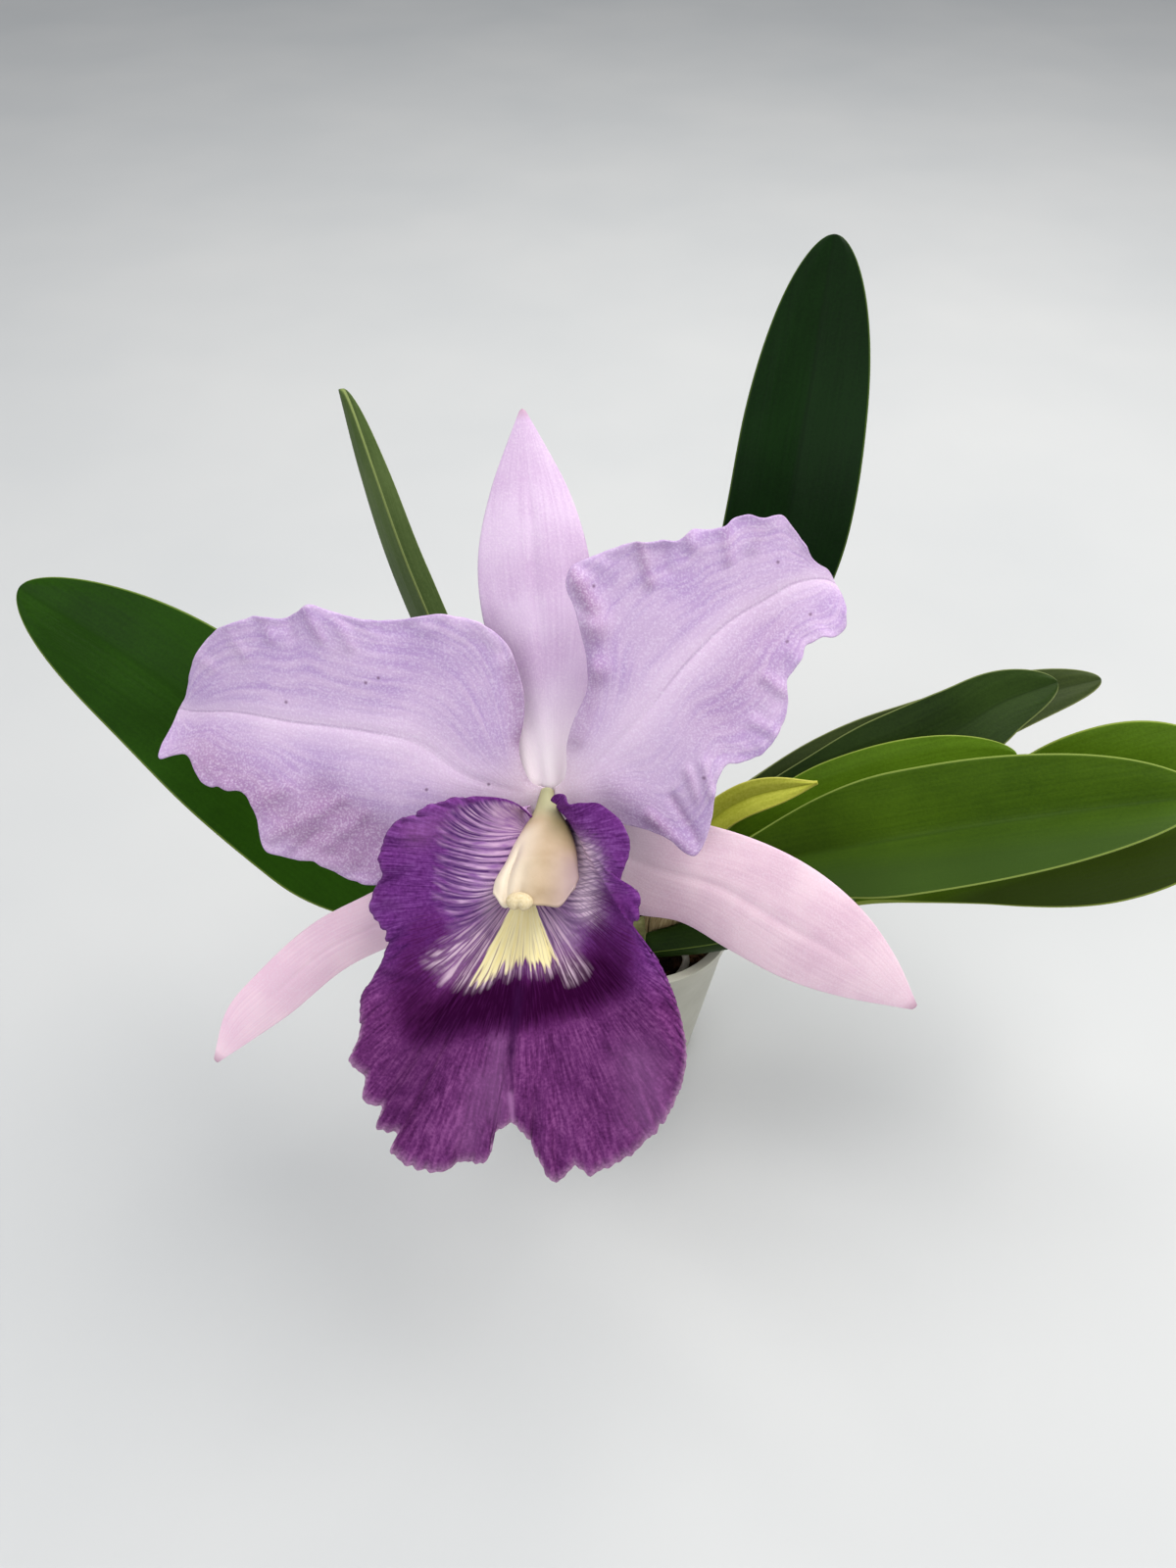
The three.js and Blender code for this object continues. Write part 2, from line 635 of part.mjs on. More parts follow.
function antherGeometry() {
  const curve = columnCurve();
  const along = curve.getTangentAt(1);
  const centre = curve.getPointAt(1).addScaledVector(along, ANTHER_CAP.lift);
  const cap = new THREE.SphereGeometry(1, 12, 8);
  cap.scale(...ANTHER_CAP.radii);
  cap.applyQuaternion(new THREE.Quaternion().setFromUnitVectors(new THREE.Vector3(0, 0, 1), along));
  cap.translate(...centre.toArray());
  return fromSolid(toSolid(cap));
}

// ---------------------------------------------------------------- assembly

const flower = new THREE.Group();
flower.position.set(...FLOWER.centre);
flower.rotation.x = radians(90 - FLOWER.lookUp);
for (const sepal of SEPALS) flower.add(piece(sepal.name, sepalGeometry(sepal), 'sepal'));
for (const petal of PETALS) flower.add(piece(petal.name, petalGeometry(petal), 'petal'));
flower.add(piece('lip', lipGeometry(), 'lip'));
flower.add(piece('column', columnGeometry(), 'column'));
flower.add(piece('anther_cap', antherGeometry(), 'column'));
flower.updateMatrixWorld();

function stemGeometry() {
  const top = flower.localToWorld(new THREE.Vector3(0, 0, LAYER.receptacle));
  const neck = flower.localToWorld(new THREE.Vector3(0, 0, LAYER.receptacle - 2));
  const behind = flower.localToWorld(new THREE.Vector3(0, 0, LAYER.receptacle - 6));
  const head = [top, neck, behind].map((point) => point.toArray());
  const route = [...head, ...STEM.bends, seatOn(STEM.bulb, STEM.seat)];
  const section = (s) => {
    const flare = Math.exp(-s / 0.025);
    const ovary = mix(STEM.ovary, STEM.radius, THREE.MathUtils.smoothstep(s, 0.05, 0.4));
    const radius = mix(ovary, STEM.ovaryTop, flare);
    return [radius, radius];
  };
  return rodGeometry(smooth(route), section, 26, 10);
}

function sheathGeometry() {
  const curve = smooth([...STEM.bends, seatOn(STEM.bulb, STEM.seat)].reverse());
  const share = SHEATH.length / curve.getLength();
  const gap = radians(SHEATH.opening);
  const surfaceAt = (u, v) => {
    const s = u * share;
    const centre = curve.getPointAt(s);
    const tangent = curve.getTangentAt(s);
    const across = new THREE.Vector3().crossVectors(tangent, new THREE.Vector3(0, -1, 0)).normalize();
    const front = new THREE.Vector3().crossVectors(across, tangent).normalize();
    const open = mix(gap, 2.2 * gap, u * u);
    const angle = mix(open / 2, 2 * Math.PI - open / 2, v);
    const radius = SHEATH.radius * mix(0.92, 1.15, Math.sin(Math.PI * 0.8 * u));
    centre.addScaledVector(front, radius * Math.cos(angle));
    centre.addScaledVector(across, radius * Math.sin(angle));
    return centre;
  };
  return bladeGeometry(surfaceAt, 8, 10, SHEATH.thickness);
}

const plant = new THREE.Group();
plant.add(piece('pot', potGeometry(), 'pot'));

for (const bulb of BULBS) plant.add(piece(bulb.name, bulbGeometry(bulb), 'pseudobulb'));
plant.add(piece('potting_mix', fromSolid(mixSolid().subtract(rhizomeSolid(SEAT_GAP))), 'bark'));
plant.add(piece('rhizome', fromSolid(rhizomeSolid(0)), 'rhizome'));
for (const leaf of LEAVES) {
  const line = [seatOn(leaf.bulb, leaf.seat), ...leaf.line];
  plant.add(piece(leaf.name, leafGeometry({ ...leaf, line }), 'leaf'));
}
plant.add(piece('new_growth', leafGeometry(NEW_GROWTH), 'newGrowth'));
plant.add(piece('flower_stem', stemGeometry(), 'stem'));
plant.add(piece('flower_sheath', sheathGeometry(), 'sheath'));

const orchid = new THREE.Group();
orchid.add(plant, flower);
orchid.updateMatrixWorld(true);

export default orchid;
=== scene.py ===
import math
import random
from bisect import bisect_left
from functools import partial

import bpy
from mathutils import Matrix, Vector, noise
from mathutils.geometry import interpolate_bezier


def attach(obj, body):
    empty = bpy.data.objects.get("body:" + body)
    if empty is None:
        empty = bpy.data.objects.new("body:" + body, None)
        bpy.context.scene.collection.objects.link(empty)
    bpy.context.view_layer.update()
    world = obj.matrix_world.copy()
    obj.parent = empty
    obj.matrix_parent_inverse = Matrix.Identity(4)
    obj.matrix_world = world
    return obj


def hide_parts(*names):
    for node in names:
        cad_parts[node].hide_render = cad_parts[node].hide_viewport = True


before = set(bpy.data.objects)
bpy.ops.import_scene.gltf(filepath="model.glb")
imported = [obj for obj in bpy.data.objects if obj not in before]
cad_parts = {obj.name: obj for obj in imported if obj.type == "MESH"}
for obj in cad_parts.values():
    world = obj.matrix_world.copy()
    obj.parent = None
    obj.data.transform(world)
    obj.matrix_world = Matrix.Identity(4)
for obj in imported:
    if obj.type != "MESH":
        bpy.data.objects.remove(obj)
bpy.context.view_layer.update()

mm = 0.001
acrossX = Vector((1, 0, 0))
upright = Vector((0, 0, 1))


# small sums, curves and surfaces, all in mm

def between(low, high, share):
    return low + (high - low) * share


def ease(value, low, high):
    share = min(max((value - low) / (high - low), 0), 1)
    return share * share * (3 - 2 * share)


# A smooth line through points, asked for by its share of length from 0 to 1.
def smoothLine(points):
    knots = [Vector(point) for point in points]
    knots = [2 * knots[0] - knots[1], *knots, 2 * knots[-1] - knots[-2]]
    samples = []
    for before, start, end, after in zip(knots, knots[1:], knots[2:], knots[3:]):
        first = math.sqrt((start - before).length)
        middle = math.sqrt((end - start).length)
        last = math.sqrt((after - end).length)
        leaving = end - start + middle * ((start - before) / first - (end - before) / (first + middle))
        arriving = end - start + middle * ((after - end) / last - (after - start) / (middle + last))
        samples += interpolate_bezier(start, start + leaving / 3, end - arriving / 3, end, 24)[:-1]
    samples.append(knots[-2])
    reach = [0]
    for a, b in zip(samples, samples[1:]):
        reach.append(reach[-1] + (b - a).length)

    def pointAt(share):
        wanted = min(max(share, 0), 1) * reach[-1]
        index = min(max(bisect_left(reach, wanted), 1), len(reach) - 1)
        gap = reach[index] - reach[index - 1]
        return samples[index - 1].lerp(samples[index], (wanted - reach[index - 1]) / gap)

    return pointAt


def lengthOf(line):
    return sum((line(step / 20) - line((step - 1) / 20)).length for step in range(1, 21))


def directionAt(line, share):
    return (line(min(share + 0.01, 1)) - line(max(share - 0.01, 0))).normalized()


# Two axes square to a line there, the first of them square to the guide as well.
def axesAt(line, share, guide):
    along = directionAt(line, share)
    first = along.cross(guide).normalized()
    return first, first.cross(along)


# A value from a list of (share, values...), eased from one entry to the next.
def valuesAlong(table, share):
    for low, high in zip(table, table[1:]):
        if share <= high[0]:
            part = ease(share, low[0], high[0])
            return [between(a, b, part) for a, b in zip(low[1:], high[1:])]
    return table[-1][1:]


# How far along the line between two flat points a place lies, from 0 to 1, and how far off it.
def offSegment(place, start, end):
    start, end, place = Vector(start), Vector(end), Vector((place[0], place[1]))
    share = min(max((place - start).dot(end - start) / (end - start).length_squared, 0), 1)
    return share, (place - start.lerp(end, share)).length


# How strongly soft lines mark a place. Each line has its ends, half width and, last, its strength.
def softLines(place, lines, most):
    total = 0
    for start, end, halfWidth, *other, strength in lines:
        total += strength * math.exp(-(offSegment(place, start, end)[1] / halfWidth) ** 2)
    return min(total, most)


# A smooth random height from -1 to 1 whose lumps are about this many mm apart.
def lumps(point, size, seed=0):
    return noise.noise(Vector((point[0] / size, point[1] / size, point[2] / size + 17.3 * seed)))


# The scale of a pattern whose features lie this many mm apart, and of one in bands.
def spaced(size):
    return 1 / (size * mm)


def banded(size):
    return 0.31416 / (size * mm)


# making and finishing pieces

def addPrimitive(name, add, **settings):
    bpy.ops.object.select_all(action='DESELECT')
    add(**settings)
    bpy.context.object.name = name
    return bpy.context.object


def addGrid(name, steps):
    add = bpy.ops.mesh.primitive_grid_add
    return addPrimitive(name, add, x_subdivisions=steps[0], y_subdivisions=steps[1], size=1)


def selectFaces(test):
    bpy.ops.mesh.select_all(action='DESELECT')
    bpy.ops.object.mode_set(mode='OBJECT')
    for face in bpy.context.object.data.polygons:
        face.select = test(face)
    bpy.ops.object.mode_set(mode='EDIT')


# A standing cylinder that narrows toward its foot, left in edit mode.
def addTapered(name, sides, bottom, top, bottomRadius, topRadius):
    piece = addPrimitive(
        name, bpy.ops.mesh.primitive_cylinder_add, vertices=sides, radius=topRadius * mm,
        depth=(top - bottom) * mm, location=(0, 0, (top + bottom) / 2 * mm),
    )
    bpy.ops.object.transform_apply()
    bpy.ops.object.mode_set(mode='EDIT')
    bpy.ops.mesh.select_mode(type='FACE')
    selectFaces(lambda face: face.normal.z < -0.9)
    shrink = bottomRadius / topRadius
    bpy.ops.transform.resize(value=(shrink, shrink, 1))
    return piece


def addModifier(piece, kind, **settings):
    modifier = piece.modifiers.new(kind.lower(), kind)
    for title, value in settings.items():
        setattr(modifier, title, value)


def applyModifiers(piece):
    bpy.context.view_layer.objects.active = piece
    for modifier in list(piece.modifiers):
        bpy.ops.object.modifier_apply(modifier=modifier.name)


# Values painted on a piece's points, which its material reads: a share, or a place in mm.
def paintPoints(piece, paint, spots):
    for title, valueAt in paint.items():
        values = [valueAt(*spot) for spot in spots]
        isPlace = isinstance(values[0], Vector)
        layer = piece.data.attributes.new(title, 'FLOAT_VECTOR' if isPlace else 'FLOAT', 'POINT')
        for point, value in zip(layer.data, values):
            if isPlace:
                point.vector = value * mm
            else:
                point.value = value


# A thin sheet: a flat grid is laid on the surface, then given its thickness and rounded off.
# full says, from 0 to 1, how much of the thickness a place has.
def addSheet(name, surfaceAt, steps, thickness, paint, full=None, rounding=1):
    sheet = addGrid(name, steps)
    places = [(vertex.co.x + 0.5, vertex.co.y + 0.5) for vertex in sheet.data.vertices]
    spots = [(u, v, surfaceAt(u, v)) for u, v in places]
    for vertex, (u, v, point) in zip(sheet.data.vertices, spots):
        vertex.co = point * mm
    paintPoints(sheet, paint, spots)
    addModifier(sheet, 'SOLIDIFY', thickness=thickness * mm, offset=0, material_offset=1)
    if full:
        body = sheet.vertex_groups.new(name='body')
        for index, (u, v) in enumerate(places):
            body.add([index], full(u, v), 'REPLACE')
        sheet.modifiers[0].vertex_group = 'body'
    if rounding:
        addModifier(sheet, 'SUBSURF', levels=rounding, render_levels=rounding)
    applyModifiers(sheet)
    bpy.ops.object.shade_smooth()
    return sheet


# A closed rod along a line: a flat grid is rolled up and merged at its seam and its two ends.
def addRod(name, line, sizeAt, steps, widthAxis, paint):
    rod = addGrid(name, steps)
    places = [(vertex.co.x + 0.5, (vertex.co.y + 0.5) * 2 * math.pi) for vertex in rod.data.vertices]
    for vertex, (share, turn) in zip(rod.data.vertices, places):
        depth, side = axesAt(line, share, widthAxis)
        halfWidth, halfDepth = sizeAt(share, turn)
        ring = side * halfWidth * math.cos(turn) + depth * halfDepth * math.sin(turn)
        vertex.co = (line(share) + ring) * mm
    paintPoints(rod, paint, places)
    bpy.ops.object.mode_set(mode='EDIT')
    bpy.ops.mesh.select_all(action='SELECT')
    bpy.ops.mesh.remove_doubles(threshold=0.002 * mm)
    bpy.ops.mesh.normals_make_consistent(inside=False)
    bpy.ops.object.mode_set(mode='OBJECT')
    bpy.ops.object.shade_smooth()
    return rod


# What a sheath is painted with: its surface laid out flat, and how far off its edges lie.
def layOut(length, around):
    return {
        'lay': lambda u, v, point: Vector((u * length, (v - 0.5) * around, 0)),
        'edge': lambda u, v, point: min(v, 1 - v) * around * mm,
    }


# How a rod's size dies away at its two ends, each over its own share of the length.
def roundEnds(share, start, end):
    first = min(share / start, 1)
    last = min((1 - share) / end, 1)
    return math.sqrt(max(1 - (1 - first) ** 2, 0)) * math.sqrt(max(1 - (1 - last) ** 2, 0))


def joinPieces(pieces, name):
    bpy.ops.object.select_all(action='DESELECT')
    for piece in pieces:
        piece.select_set(True)
    bpy.context.view_layer.objects.active = pieces[0]
    bpy.ops.object.join()
    bpy.context.object.name = name
    return bpy.context.object


def finishPiece(piece, slot, materials, *nodes):
    piece.data.materials.clear()
    for material in materials:
        piece.data.materials.append(material)
    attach(piece, "root")
    if nodes:
        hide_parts(*nodes)


# making materials

def linearColour(code):
    channels = [int(code[place:place + 2], 16) / 255 for place in (1, 3, 5)]
    return (*[c / 12.92 if c <= 0.04045 else ((c + 0.055) / 1.055) ** 2.4 for c in channels], 1)


# An input is linked to a socket, or set to a value or a colour's code.
def setInput(tree, node, title, value):
    if isinstance(value, bpy.types.NodeSocket):
        tree.links.new(value, node.inputs[title])
    else:
        node.inputs[title].default_value = linearColour(value) if isinstance(value, str) else value


# Adds a shader node with its settings, and gives back its working output or the one asked for.
def addNode(tree, kind, settings, output=None):
    node = tree.nodes.new('ShaderNode' + kind)
    for title, value in settings.items():
        if title == 'stops':
            while len(node.color_ramp.elements) < len(value):
                node.color_ramp.elements.new(1)
            for element, (place, colour) in zip(node.color_ramp.elements, value):
                element.position = place
                element.color = linearColour(colour)
        elif isinstance(title, int) or title in node.inputs:
            setInput(tree, node, title, value)
        else:
            setattr(node, title, value)
    return node.outputs[output] if output else next(socket for socket in node.outputs if socket.enabled)


def newMaterial(name):
    material = bpy.data.materials.new(name)
    material.use_nodes = True
    return material, partial(addNode, material.node_tree)


# Noise this many mm apart: over the whole piece, or over a place painted on it, and drawn out.
def grained(add, size, detail, painted=None, stretch=None, **settings):
    if painted:
        source = add('Attribute', {'attribute_name': painted}, 'Vector')
    else:
        source = add('TexCoord', {}, 'Object')
    if stretch:
        source = add('Mapping', {'Scale': stretch, 'Vector': source})
    return add('TexNoise', {'Scale': spaced(size), 'Detail': detail, 'Vector': source, **settings})


# Lays colours over one another, each by its share.
def layColours(add, colour, layers):
    for share, above in layers:
        colour = add('Mix', {'data_type': 'RGBA', 0: share, 6: colour, 7: above})
    return colour


# Brings several values together by one operation.
def together(add, operation, value, *others):
    for other in others:
        value = add('Math', {'operation': operation, 0: value, 1: other})
    return value


# Gives a material its colour, a bump's height, strength and depth in mm, and the shader's values.
def dressMaterial(material, colour, bump, values):
    tree = material.node_tree
    inputs = {'Base Color': colour, **values}
    if bump:
        height, strength, depth = bump
        inputs['Normal'] = addNode(tree, 'Bump', {
            'Strength': strength, 'Distance': depth * mm, 'Height': height,
        })
    for title, value in inputs.items():
        setInput(tree, tree.nodes['Principled BSDF'], title, value)
    return material


print('orchid: helpers ready')

# camera, light and floor

cameraSettings = {
    'place': (-0.0136, -0.1988, 0.3033),
    'lookDown': 45,
    'lens': 27.045,
    'clipStart': 0.005,
    'view': 'Standard',  # shows the petals' own lilac, which the filmic view would grey
}

bpy.ops.object.camera_add(
    location=cameraSettings['place'],
    rotation=(math.radians(90 - cameraSettings['lookDown']), 0, 0),
)
camera = bpy.context.object
camera.name = 'camera'
camera.data.lens = cameraSettings['lens']
camera.data.clip_start = cameraSettings['clipStart']
bpy.context.scene.camera = camera
bpy.context.scene.view_settings.view_transform = cameraSettings['view']

lightSettings = {
    'target': (0, 0, 0.1),
    'lamps': [
        {'name': 'softbox_above', 'place': (0.25, 0.25, 1), 'size': 0.8, 'power': 11, 'colour': '#fffdf8'},
        {'name': 'softbox_front', 'place': (-0.5, -0.9, 0.8), 'size': 0.9, 'power': 6, 'colour': '#fbfcff'},
        {'name': 'softbox_side', 'place': (0.9, -0.3, 0.5), 'size': 0.6, 'power': 2.5, 'colour': '#fffaf2'},
    ],
    'surroundings': '#e6e9ec',
    'surroundingsPower': 0.55,
}

for lamp in lightSettings['lamps']:
    place = Vector(lamp['place'])
    aim = (Vector(lightSettings['target']) - place).to_track_quat('-Z', 'Y').to_euler()
    bpy.ops.object.light_add(type='AREA', location=place, rotation=aim)
    light = bpy.context.object
    light.name = lamp['name']
    light.data.size = lamp['size']
    light.data.energy = lamp['power']
    light.data.color = linearColour(lamp['colour'])[:3]

surroundings = bpy.data.worlds.new('surroundings')
surroundings.use_nodes = True
backdrop = surroundings.node_tree.nodes['Background']
backdrop.inputs['Color'].default_value = linearColour(lightSettings['surroundings'])
backdrop.inputs['Strength'].default_value = lightSettings['surroundingsPower']
bpy.context.scene.world = surroundings


# matt painted board: an even pale surface with hardly any shine
def mattPaintedBoard():
    material, add = newMaterial('matt_painted_board')
    tone = add('ValToRGB', {'stops': [(0.3, '#bfc1c3'), (0.7, '#c6c7c8')], 'Fac': grained(add, 160, 3)})
    return dressMaterial(material, tone, None, {'Roughness': 0.75})


floor = addPrimitive('floor', bpy.ops.mesh.primitive_plane_add, size=8)
floor.data.materials.append(mattPaintedBoard())
print('orchid: camera, light and floor ready')

# pot

potSettings = {
    'height': 58,
    'rimRadius': 25.3,
    'baseRadius': 17,
    'wall': 1.7,
    'floor': 3,
    'rimBand': 4,
    'rimStep': 0.5,
    'edgeRounding': 0.35,
    'sides': 96,
    'drainHoles': 5,
    'drainRadius': 2.2,
    'drainCircle': 10.5,
}


# moulded polypropylene: even and a little waxy, its white greyed toward beige as painted shade, with fine
# scuffs and darker, browner patches toward its foot
def mouldedPolypropylene():
    material, add = newMaterial('moulded_polypropylene')
    # greyish beige in place of the white plastic: painted shade
    tone = add('ValToRGB', {'stops': [(0.35, '#a9a89a'), (0.65, '#bab9ac')], 'Fac': grained(add, 28, 4)})
    height = add('SeparateXYZ', {0: add('TexCoord', {}, 'Object')}, 'Z')
    foot = add('MapRange', {0: height, 2: 12 * mm, 3: 0.5, 4: 0.05})
    colour = layColours(add, tone, [(together(add, 'MULTIPLY', foot, grained(add, 4, 5)), '#75694f')])
    scuffs = grained(add, 2.4, 3)
    gloss = add('MapRange', {0: scuffs, 3: 0.32, 4: 0.5})
    return dressMaterial(material, colour, (scuffs, 0.12, 0.2), {'Roughness': gloss, 'IOR': 1.49})


def makePot():
    size = potSettings
    topRadius = size['rimRadius'] - size['rimStep']
    slope = (topRadius - size['baseRadius']) / size['height']
    pot = addTapered('flower_pot', size['sides'], 0, size['height'], size['baseRadius'], topRadius)

    # the hollow
    selectFaces(lambda face: face.normal.z > 0.9)
    bpy.ops.mesh.inset(thickness=size['wall'] * mm, use_even_offset=True)
    bpy.ops.mesh.extrude_region_move(
        TRANSFORM_OT_translate={'value': (0, 0, -(size['height'] - size['floor']) * mm)},
    )
    inner = size['baseRadius'] + slope * size['floor'] - size['wall']
    narrow = inner / (topRadius - size['wall'])
    bpy.ops.transform.resize(value=(narrow, narrow, 1))

    # the rim band stands a little proud of the wall
    bandFoot = (size['height'] - size['rimBand']) * mm
    bpy.ops.mesh.select_all(action='SELECT')
    bpy.ops.mesh.bisect(plane_co=(0, 0, bandFoot), plane_no=(0, 0, 1))
    selectFaces(lambda face: face.center.z > bandFoot and abs(face.normal.z) < 0.5
                and face.center.to_2d().length > (topRadius - size['wall'] / 2) * mm - slope * 2 * mm
                and face.center.to_2d().normalized().dot(face.normal.to_2d()) > 0)
    bpy.ops.mesh.extrude_region_shrink_fatten(
        TRANSFORM_OT_shrink_fatten={'value': size['rimStep'] * mm},
    )
    bpy.ops.mesh.select_all(action='SELECT')
    bpy.ops.mesh.normals_make_consistent(inside=False)
    bpy.ops.object.mode_set(mode='OBJECT')

    for hole in range(size['drainHoles']):
        turn = 2 * math.pi * hole / size['drainHoles']
        x, y = size['drainCircle'] * math.cos(turn), size['drainCircle'] * math.sin(turn)
        drill = addPrimitive(
            'drill', bpy.ops.mesh.primitive_cylinder_add, vertices=32,
            radius=size['drainRadius'] * mm, depth=3 * size['floor'] * mm, location=(x * mm, y * mm, 0),
        )
        addModifier(pot, 'BOOLEAN', operation='DIFFERENCE', object=drill)
        applyModifiers(pot)
        bpy.data.objects.remove(drill)

    bpy.ops.object.select_all(action='DESELECT')
    pot.select_set(True)
    addModifier(pot, 'BEVEL', width=size['edgeRounding'] * mm, segments=3, angle_limit=math.radians(35))
    applyModifiers(pot)
    bpy.ops.object.shade_smooth_by_angle(angle=math.radians(40))
    finishPiece(pot, 'pot', [mouldedPolypropylene()], 'pot')


makePot()
print('orchid: pot ready')

# bark mix

mixSettings = {
    'bottom': 3.35,
    'top': 49.6,
    'bottomRadius': 14.9,
    'topRadius': 21.6,
    'chips': 120,
    'chipSizes': [(6.4, 4.2, 2.4), (5.2, 3.2, 2.6), (7.2, 3, 2), (4, 3.4, 2.2)],
    'lumpSize': 2.2,
    'lumpDepth': 0.75,
    'chipRounding': 0.25,
    'bareRim': 3.4,
    'tilt': 0.45,
    'growth': (0.75, 1.1),
    'lift': (-0.4, 1),
    'seed': 5,
}


# pine bark: layered and matt, dark red-brown outside and paler where it is broken, its browns darkened toward
# black as painted shade where it lies down in the pot
def pineBark():
    material, add = newMaterial('pine_bark')
    fibre = grained(add, 1.1, 6, None, (1, 1, 3), Roughness=0.7)
    # browns darker than the bark's own: painted shade
    stops = [(0.3, '#120c07'), (0.5, '#24180e'), (0.62, '#3c2717'), (0.75, '#5a3f28')]
    tone = add('ValToRGB', {'stops': stops, 'Fac': grained(add, 6, 2)})
    grey = add('MapRange', {0: fibre, 3: 0.45, 4: 1.25})
    colour = add('Mix', {'data_type': 'RGBA', 'blend_type': 'MULTIPLY', 0: 0.8, 6: tone, 7: grey})
    return dressMaterial(material, colour, (fibre, 0.7, 0.6), {'Roughness': 0.9, 'Specular IOR Level': 0.15})


def makeBarkMix():
    size = mixSettings
    draw = random.Random(size['seed'])
    bed = addTapered('bed', 48, size['bottom'], size['top'], size['bottomRadius'], size['topRadius'])
    bpy.ops.object.mode_set(mode='OBJECT')

    models = []
    for length, width, depth in size['chipSizes']:
        chip = addPrimitive('chip', bpy.ops.mesh.primitive_cube_add, size=1)
        chip.scale = (length * mm, width * mm, depth * mm)
        bpy.ops.object.transform_apply()
        bpy.ops.object.mode_set(mode='EDIT')
        bpy.ops.mesh.select_all(action='SELECT')
        bpy.ops.mesh.subdivide(number_cuts=2)
        bpy.ops.object.mode_set(mode='OBJECT')
        for vertex in chip.data.vertices:
            place = vertex.co / mm + Vector((length, width, depth)) * size['lumpSize']
            shift = Vector([lumps(place, size['lumpSize'], seed) for seed in range(3)])
            vertex.co += shift * size['lumpDepth'] * mm
        addModifier(chip, 'BEVEL', width=size['chipRounding'] * mm, segments=1, limit_method='NONE')
        applyModifiers(chip)
        models.append(chip)

    # the chips lie in a spiral, each leaning and turned its own way
    pieces = [bed]
    golden = math.pi * (3 - math.sqrt(5))
    tilt = size['tilt']
    for index in range(size['chips']):
        model = models[index % len(models)]
        chip = model.copy()
        chip.data = model.data.copy()
        bpy.context.collection.objects.link(chip)
        radius = (size['topRadius'] - size['bareRim']) * math.sqrt((index + 0.5) / size['chips'])
        turn = index * golden
        lean = Matrix.Rotation(draw.uniform(-tilt, tilt), 4, 'X')
        lean = lean @ Matrix.Rotation(draw.uniform(-tilt, tilt), 4, 'Y')
        spin = Matrix.Rotation(draw.uniform(0, 2 * math.pi), 4, 'Z')
        grow = Matrix.Scale(draw.uniform(*size['growth']), 4)
        height = size['top'] + draw.uniform(*size['lift'])
        spot = Vector((radius * math.cos(turn), radius * math.sin(turn), height))
        chip.matrix_world = Matrix.Translation(spot * mm) @ lean @ spin @ grow
        pieces.append(chip)
    for model in models:
        bpy.data.objects.remove(model)
    finishPiece(joinPieces(pieces, 'bark_mix'), 'bark', [pineBark()], 'potting_mix')


makeBarkMix()
print('orchid: bark mix ready')

# rhizome and roots

rhizomeSettings = {
    'height': 53.2,
    'radius': 2,
    'scarSpacing': 2.6,
    'rootRadius': 1,
    'runners': [
        [(-17, -10), (-13, -8), (-7, 2), (3, 9), (8, 8.4), (12.5, 7), (16, 5)],
        [(-7, 2), (-1, -3), (5, -7), (10, -5.6), (14, -3)],
        [(-1, -3), (4, 0), (9.4, 1.4)],
        [(-13, -8), (-7, -12), (0, -13), (4, -13.2)],
    ],
    'roots': [
        [(-13, -8, 53.4), (-17, -3, 54.6), (-18.6, 4, 54), (-16, 10, 52.6), (-12, 15, 50)],
        [(4, -3, 53.4), (9, -8, 54.4), (12, -14, 53.6), (9, -18.5, 52), (3, -20, 49.6)],
        [(3, 9, 53.4), (2, 14, 54.2), (-3, 18, 53), (-8, 19, 50)],
        [(13, 5, 53.4), (18, 8, 54.2), (17, 13, 53), (12, 17.5, 50)],
        [(-7, 2, 53), (-12, 5, 53.6), (-13, 11, 52.6), (-9, 15.5, 50)],
        [(8, -7, 53), (14, -9, 53.4), (18.4, -5, 52.4), (19.4, 1, 50)],
    ],
}


# living rhizome skin and root velamen: chalky and grey-green, with brown leaf scars
def rhizomeSkin():
    material, add = newMaterial('rhizome_and_velamen')
    patch = grained(add, 4, 4)
    green = add('ValToRGB', {'stops': [(0.3, '#5d5a33'), (0.5, '#7d7f4e'), (0.7, '#a9a77c')], 'Fac': patch})
    chalk = add('ValToRGB', {'stops': [(0.3, '#98958a'), (0.6, '#c4c1b4'), (0.8, '#a7a48f')], 'Fac': patch})
    colour = layColours(add, green, [(add('Attribute', {'attribute_name': 'root'}, 'Fac'), chalk)])
    return dressMaterial(material, colour, (grained(add, 0.7, 3), 0.4, 0.2), {'Roughness': 0.8})


def makeRhizome():
    size = rhizomeSettings
    pieces = []
    for index, route in enumerate(size['runners']):
        line = smoothLine([(x, y, size['height']) for x, y in route])
        length = lengthOf(line)

        def sizeAt(share, turn):
            scar = abs(math.sin(math.pi * share * length / size['scarSpacing'])) ** 0.35
            radius = size['radius'] * between(1.0, 0.88, scar) * roundEnds(share, 0.06, 0.06)
            return radius, radius

        paint = {'root': lambda share, turn: 0}
        pieces.append(addRod(f'runner_{index}', line, sizeAt, (60, 20), upright, paint))
    for index, route in enumerate(size['roots']):
        line = smoothLine(route)

        def sizeAt(share, turn):
            lump = 1 + 0.12 * lumps(line(share), 2.5, index)
            radius = size['rootRadius'] * between(1.1, 0.75, share) * lump * roundEnds(share, 0.03, 0.05)
            return radius, radius

        paint = {'root': lambda share, turn: ease(share, 0.02, 0.2)}
        pieces.append(addRod(f'root_{index}', line, sizeAt, (48, 14), upright, paint))
    finishPiece(joinPieces(pieces, 'creeping_rhizome'), 'rhizome', [rhizomeSkin()], 'rhizome')


makeRhizome()
print('orchid: rhizome and roots ready')

# pseudobulbs with their papery sheaths

